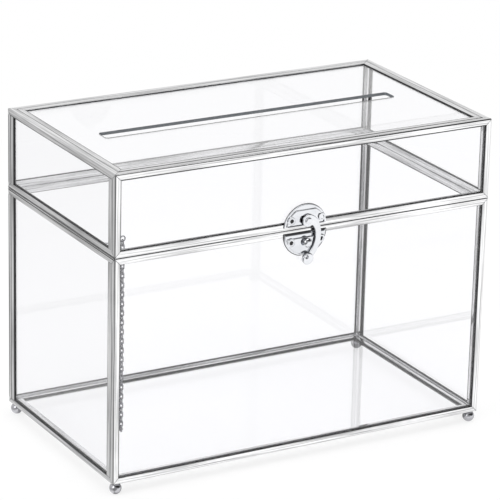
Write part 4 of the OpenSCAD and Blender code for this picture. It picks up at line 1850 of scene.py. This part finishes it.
@dataclass
class SolderWork:
    """Small fillets of tin solder where the parts of the frame and the fittings meet.

    Places are in millimetres, and each drop's size is its half sizes along the three axes.
    """

    case: Case
    finishes: Finishes
    heart: float = CameSizes.heart
    corner_drop: Triple = (1.0, 0.9, 1.1)
    hinge_x: float = 52.0
    leaf_end: float = 7.1
    leaf_height: float = 2.5
    leaf_proud: float = 0.05
    leaf_drop: Triple = (0.5, 0.35, 0.8)
    wire: float = StayChain.wire
    root_in: float = 0.1
    root_drop: Triple = (0.5, 0.8, 0.8)
    loop_in: float = 2.0
    loop_drop: Triple = (0.55, 0.5, 0.5)
    # Phases of the corners, of the hinges and their ends, and of an eyelet's two drops.
    corner_phases: Span = (0.3, 0.8)
    hinge_phases: Span = (1.1, 0.7)
    eyelet_phases: Span = (0.5, 1.4)
    # Depth of the two waves that make a drop uneven, and their frequencies over its surface.
    broad_wave: float = 0.09
    broad_turns: Span = (3.1, 2.7)
    fine_wave: float = 0.05
    fine_turns: float = 5.3

    def drop(self, bm: bmesh.types.BMesh, at: Vector, size: Triple, phase: float) -> None:
        """Adds a slightly uneven drop of solder.

        Args:
            bm: The mesh to add to.
            at: Middle of the drop, in metres.
            size: Half sizes along the three axes.
            phase: Makes each drop uneven in its own way.
        """
        along, across = self.broad_turns
        for vert in bmesh.ops.create_icosphere(bm, subdivisions=3, radius=1.0)["verts"]:
            p = vert.co
            broad = math.sin(along * p.x + phase) * math.cos(across * p.y - phase)
            fine = math.sin(self.fine_turns * p.z + 2 * phase)
            uneven = 1 + self.broad_wave * broad + self.fine_wave * fine
            vert.co = at + Vector((p.x * size[0], p.y * size[1], p.z * size[2])) * uneven * MM

    def finish(self, name: str, bm: bmesh.types.BMesh, shell: Shell, slot: str) -> None:
        """Turns drops into one piece on a shell.

        Args:
            name: The piece's name.
            bm: The drops.
            shell: The shell that they are on.
            slot: The slot of the part that they hold. Not used.
        """
        piece = finish_mesh(name, bm)
        piece.data.materials.append(self.finishes.solder)
        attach(piece, shell.value)

    def corners(self, shell: Shell) -> None:
        """Adds the fillets inside a shell's closed corners.

        Args:
            shell: The shell.
        """
        case, bm = self.case, bmesh.new()
        inner = self.heart * MM
        z = case.bottom + inner if shell is Shell.BODY else case.top - inner
        places = [Vector((x, y, z)) for y in (case.y0 + inner, case.y1 - inner)
                  for x in (case.x0 + inner, case.x1 - inner)]
        first, step = self.corner_phases
        for k, at in enumerate(places):
            self.drop(bm, at, self.corner_drop, step * k + first)
        self.finish(f"{shell.value}_corner_solder", bm, shell, "came")

    def hinge_ends(self, shell: Shell, way: int) -> None:
        """Adds the solder at the ends of the leaves on a shell.

        Args:
            shell: The shell.
            way: 1 if its leaves are above the split, -1 if they are below.
        """
        case, bm = self.case, bmesh.new()
        y, z = case.y1 + self.leaf_proud * MM, case.split + way * self.leaf_height * MM
        hinge_phase, end_phase = self.hinge_phases
        for k, middle in enumerate((-self.hinge_x, self.hinge_x)):
            for j, step in enumerate((-self.leaf_end, self.leaf_end)):
                at = Vector(((middle + step) * MM, y, z))
                self.drop(bm, at, self.leaf_drop, hinge_phase * k + end_phase * j)
        self.finish(f"{shell.value}_hinge_solder", bm, shell, "hinges")

    def shanks(self) -> None:
        """Adds the solder at the eyelets' shanks."""
        for node, shell in (("chain_eyelet_body", Shell.BODY), ("chain_eyelet_lid", Shell.LID)):
            low, high = node_box(node)
            bm = bmesh.new()
            z = high.z - self.wire * MM if shell is Shell.BODY else low.z + self.wire * MM
            y = (low.y + high.y) / 2
            root, loop = self.eyelet_phases
            self.drop(bm, Vector((low.x + self.root_in * MM, y, z)), self.root_drop, root)
            self.drop(bm, Vector((high.x - self.loop_in * MM, y, z)), self.loop_drop, loop)
            self.finish(f"{node}_solder", bm, shell, "stay_chain")

    def build(self) -> None:
        """Adds all the solder."""
        for shell, way in ((Shell.BODY, -1), (Shell.LID, 1)):
            self.corners(shell)
            self.hinge_ends(shell, way)
        self.shanks()


# ---- studio


def unit(x: float, y: float, z: float) -> Triple:
    """A direction of length 1."""
    return tuple(Vector((x, y, z)).normalized())


@dataclass(frozen=True)
class DarkPlace:
    """A dark part of the room or the floor: its direction, the cosines where it starts and is full."""

    towards: Triple
    start: float
    full: float
    level: float


@dataclass(frozen=True)
class SoftBox:
    """A square lamp: its place and side in metres, and its power in watts."""

    name: str
    at: Triple
    side: float
    power: float


@dataclass
class Studio:
    """The white floor and room, with what the metal mirrors of them, the soft light and the camera."""

    case: Case
    # Camera: its place from the case's front left bottom corner in millimetres, and degrees.
    camera_at: Triple = (-739.73, -1448.30, 730.62)
    azimuth: float = -29.824
    elevation: float = 19.626
    roll: float = 1.407
    focal_px: float = 2976.28
    frame_px: float = 500.0
    sensor_mm: float = 36.0
    clip: Span = (0.1, 100)
    # Floor, in metres: it glows by itself, and less near the case, so that the shadow shows.
    floor_size: float = 12.0
    glow_span: Span = (0.15, 0.6)
    glow_near: float = 0.78
    # Brightness of the floor in the metal: in front, left of the case, in dark places and under it.
    front_level: float = 1.5
    left_level: float = 0.72
    left_span: Span = (-0.138, -0.1305)
    dark_floor: tuple[DarkPlace, ...] = (DarkPlace((-0.5, -0.866, 0.0), 0.66, 0.86, 0.3),
                                         DarkPlace((0.868, 0.497, 0.0), 0.80, 0.95, 0.3))
    under_level: float = 0.28
    under_shift: Span = (0.005, 0.010)
    under_margin: Span = (0.003, 0.004)
    under_span: Span = (-0.003, 0.001)
    # Room: its dark places in the metal, and its light on matt things.
    dark_room: tuple[DarkPlace, ...] = (DarkPlace(unit(-0.47, -0.82, 0.30), 0.70, 0.93, 0.5),
                                        DarkPlace(unit(0.468, -0.336, 0.817), 0.50, 0.76, 0.07))
    room_light: float = 0.8
    lamps_aim: Triple = (0.0, 0.0, 0.1)
    soft_boxes: tuple[SoftBox, ...] = (SoftBox("softbox_top", (0.1, -0.2, 1.6), 1.2, 9.0),
                                       SoftBox("softbox_left", (-1.5, -0.6, 0.9), 0.9, 6.0))

    def camera(self) -> None:
        """Makes the camera."""
        data = bpy.data.cameras.new("camera")
        data.sensor_width = self.sensor_mm
        data.lens = self.sensor_mm * self.focal_px / self.frame_px
        data.clip_start, data.clip_end = self.clip
        a, e, r = (math.radians(x) for x in (self.azimuth, self.elevation, self.roll))
        back = Vector((math.sin(a) * math.cos(e), -math.cos(a) * math.cos(e), math.sin(e)))
        right = Vector((math.cos(a), math.sin(a), 0))
        up = back.cross(right)
        turned_right = math.cos(r) * right + math.sin(r) * up
        turned_up = -math.sin(r) * right + math.cos(r) * up
        corner = Vector((self.case.x0, self.case.y0, self.case.bottom))
        at = corner + Vector(self.camera_at) * MM
        camera = linked("camera", data)
        camera.matrix_world = Matrix.Translation(at) @ axes_along(turned_right, turned_up, back)
        bpy.context.scene.camera = camera

    def floor(self) -> None:
        """Makes the white floor, which keeps the object's soft shadow near it."""
        bpy.ops.mesh.primitive_plane_add(size=self.floor_size, location=(0, 0, 0))
        floor = bpy.context.object
        floor.name = "floor"
        material, tree = empty_material("white_paper_floor")
        rays = add_node(tree, "ShaderNodeLightPath")
        seen = rays.outputs["Is Camera Ray"]
        for kind in ("Is Glossy Ray", "Is Transmission Ray"):
            seen = add_node(tree, "ShaderNodeMath", MAXIMUM, {0: seen, 1: rays.outputs[kind]}).outputs[0]
        place = add_node(tree, "ShaderNodeTexCoord").outputs["Object"]
        far = add_node(tree, "ShaderNodeVectorMath", {"operation": "LENGTH"}, {0: place})
        share = add_node(tree, "ShaderNodeMapRange", SMOOTH_STEP, {
            "Value": far.outputs["Value"], "From Min": self.glow_span[0], "From Max": self.glow_span[1],
            "To Min": self.glow_near, "To Max": 1.0})
        factor = add_node(tree, "ShaderNodeMath", MULTIPLY, {0: seen, 1: share.outputs["Result"]})
        paper = add_node(tree, "ShaderNodeBsdfDiffuse", {}, {"Color": linear("#FFFFFF")})
        shown = add_node(tree, "ShaderNodeMix", {"data_type": "FLOAT"}, {
            "Factor": self.mirrored(tree, rays), "A": 1.0, "B": self.mirrored_floor(tree, place)})
        glow = add_node(tree, "ShaderNodeEmission", {}, {
            "Color": linear("#FFFFFF"), "Strength": shown.outputs["Result"]})
        mix = add_node(tree, "ShaderNodeMixShader", {}, {
            0: factor.outputs["Value"], 1: paper.outputs["BSDF"], 2: glow.outputs["Emission"]})
        add_node(tree, "ShaderNodeOutputMaterial", {}, {"Surface": mix.outputs["Shader"]})
        floor.data.materials.append(material)

    @staticmethod
    def mirrored(tree: bpy.types.NodeTree, rays: bpy.types.Node) -> bpy.types.NodeSocket:
        """Tells what a surface mirrors from what is seen directly or through glass.

        Args:
            tree: The node tree to add to.
            rays: Its Light Path node.

        Returns:
            A socket that is 1 for what is mirrored, and else 0.
        """
        clear = add_node(tree, "ShaderNodeMath", SUBTRACT, {0: 1.0, 1: rays.outputs["Is Transmission Ray"]})
        return add_node(tree, "ShaderNodeMath", MULTIPLY, {
            0: rays.outputs["Is Glossy Ray"], 1: clear.outputs[0]}).outputs[0]

    @staticmethod
    def darkened(tree: bpy.types.NodeTree, level: bpy.types.NodeSocket | float,
                 way: bpy.types.NodeSocket, places: Sequence[DarkPlace]) -> bpy.types.NodeSocket:
        """Darkens a brightness towards dark places.

        Args:
            tree: The node tree to add to.
            level: The brightness.
            way: The direction that is looked at.
            places: The dark places.

        Returns:
            The darkened brightness.
        """
        for dark in places:
            near = add_node(tree, "ShaderNodeVectorMath", {"operation": "DOT_PRODUCT"}, {
                0: way, 1: dark.towards})
            share = add_node(tree, "ShaderNodeMapRange", SMOOTH_STEP, {
                "Value": near.outputs["Value"], "From Min": dark.start, "From Max": dark.full,
                "To Min": 1.0, "To Max": dark.level})
            level = add_node(tree, "ShaderNodeMath", MULTIPLY, {
                0: level, 1: share.outputs["Result"]}).outputs[0]
        return level

    def mirrored_floor(self, tree: bpy.types.NodeTree,
                       place: bpy.types.NodeSocket) -> bpy.types.NodeSocket:
        """Brightness of the floor as the metal mirrors it.

        Args:
            tree: The floor's node tree.
            place: Position on the floor.

        Returns:
            The brightness: dim to the left of the case and below it, dark on the camera's side and far right.
        """
        axes = add_node(tree, "ShaderNodeSeparateXYZ", {}, {0: place}).outputs
        left = add_node(tree, "ShaderNodeMapRange", SMOOTH_STEP, {
            "Value": axes["X"], "From Min": self.left_span[0], "From Max": self.left_span[1],
            "To Min": self.left_level, "To Max": self.front_level})
        flat = add_node(tree, "ShaderNodeVectorMath", SUBTRACT, {
            0: place, 1: (self.case.x0, self.case.y0, 0.0)})
        way = add_node(tree, "ShaderNodeVectorMath", {"operation": "NORMALIZE"}, {
            0: flat.outputs["Vector"]})
        level = self.darkened(tree, left.outputs["Result"], way.outputs["Vector"], self.dark_floor)
        past = []
        halves = (self.case.width / 2, self.case.depth / 2)
        for axis, shift, half, margin in zip("XY", self.under_shift, halves, self.under_margin):
            aside = add_node(tree, "ShaderNodeMath", SUBTRACT, {0: axes[axis], 1: shift})
            away = add_node(tree, "ShaderNodeMath", {"operation": "ABSOLUTE"}, {0: aside.outputs[0]})
            past.append(add_node(tree, "ShaderNodeMath", SUBTRACT, {
                0: away.outputs[0], 1: half + margin}).outputs[0])
        edge = add_node(tree, "ShaderNodeMath", MAXIMUM, {0: past[0], 1: past[1]})
        under = add_node(tree, "ShaderNodeMapRange", SMOOTH_STEP, {
            "Value": edge.outputs[0], "From Min": self.under_span[0], "From Max": self.under_span[1],
            "To Min": self.under_level, "To Max": 1.0})
        return add_node(tree, "ShaderNodeMath", MULTIPLY, {
            0: level, 1: under.outputs["Result"]}).outputs[0]

    def world(self) -> None:
        """Makes the white room, with two darker places in it for the metal to mirror."""
        world = bpy.data.worlds.new("studio")
        bpy.context.scene.world = world
        world.use_nodes = True
        tree = world.node_tree
        tree.nodes.clear()
        rays = add_node(tree, "ShaderNodeLightPath")
        way = add_node(tree, "ShaderNodeTexCoord").outputs["Generated"]
        level = add_node(tree, "ShaderNodeMix", {"data_type": "FLOAT"}, {
            "Factor": self.mirrored(tree, rays), "A": 1.0,
            "B": self.darkened(tree, 1.0, way, self.dark_room)})
        plain = add_node(tree, "ShaderNodeMix", {"data_type": "FLOAT"}, {
            "Factor": rays.outputs["Is Diffuse Ray"], "A": level.outputs["Result"], "B": self.room_light})
        glow = add_node(tree, "ShaderNodeBackground", {}, {
            "Color": linear("#FFFFFF"), "Strength": plain.outputs["Result"]})
        add_node(tree, "ShaderNodeOutputWorld", {}, {"Surface": glow.outputs["Background"]})

    def lamps(self) -> None:
        """Hangs the soft boxes: one overhead and one to the left."""
        for box in self.soft_boxes:
            data = bpy.data.lights.new(box.name, "AREA")
            data.shape, data.size, data.energy = "SQUARE", box.side, box.power
            lamp = linked(box.name, data)
            lamp.location = box.at
            aim = Vector(self.lamps_aim) - Vector(box.at)
            lamp.rotation_euler = aim.to_track_quat("-Z", "Y").to_euler()

    def build(self) -> None:
        """Sets up the floor, the surroundings, the lamps and the camera."""
        self.camera()
        self.floor()
        self.world()
        self.lamps()
        bpy.context.scene.view_settings.view_transform = "Standard"


def main() -> None:
    """Builds the box round the frame and reports each piece."""
    logging.basicConfig(level=logging.INFO, format="%(name)s: %(message)s")
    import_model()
    case = Case()
    finishes = Finishes()
    for assembly in (Studio(case), CameFrame(case, finishes), Glazing(finishes), Feet(finishes),
                     Hinges(finishes), Hasp(case, finishes), StayChain(finishes),
                     SolderWork(case, finishes)):
        before = set(bpy.context.scene.objects.keys())
        assembly.build()
        for name in bpy.context.scene.objects.keys():
            if name not in before:
                LOG.info("%s: %s", type(assembly).__name__, name)


if __name__ == "__main__":
    main()
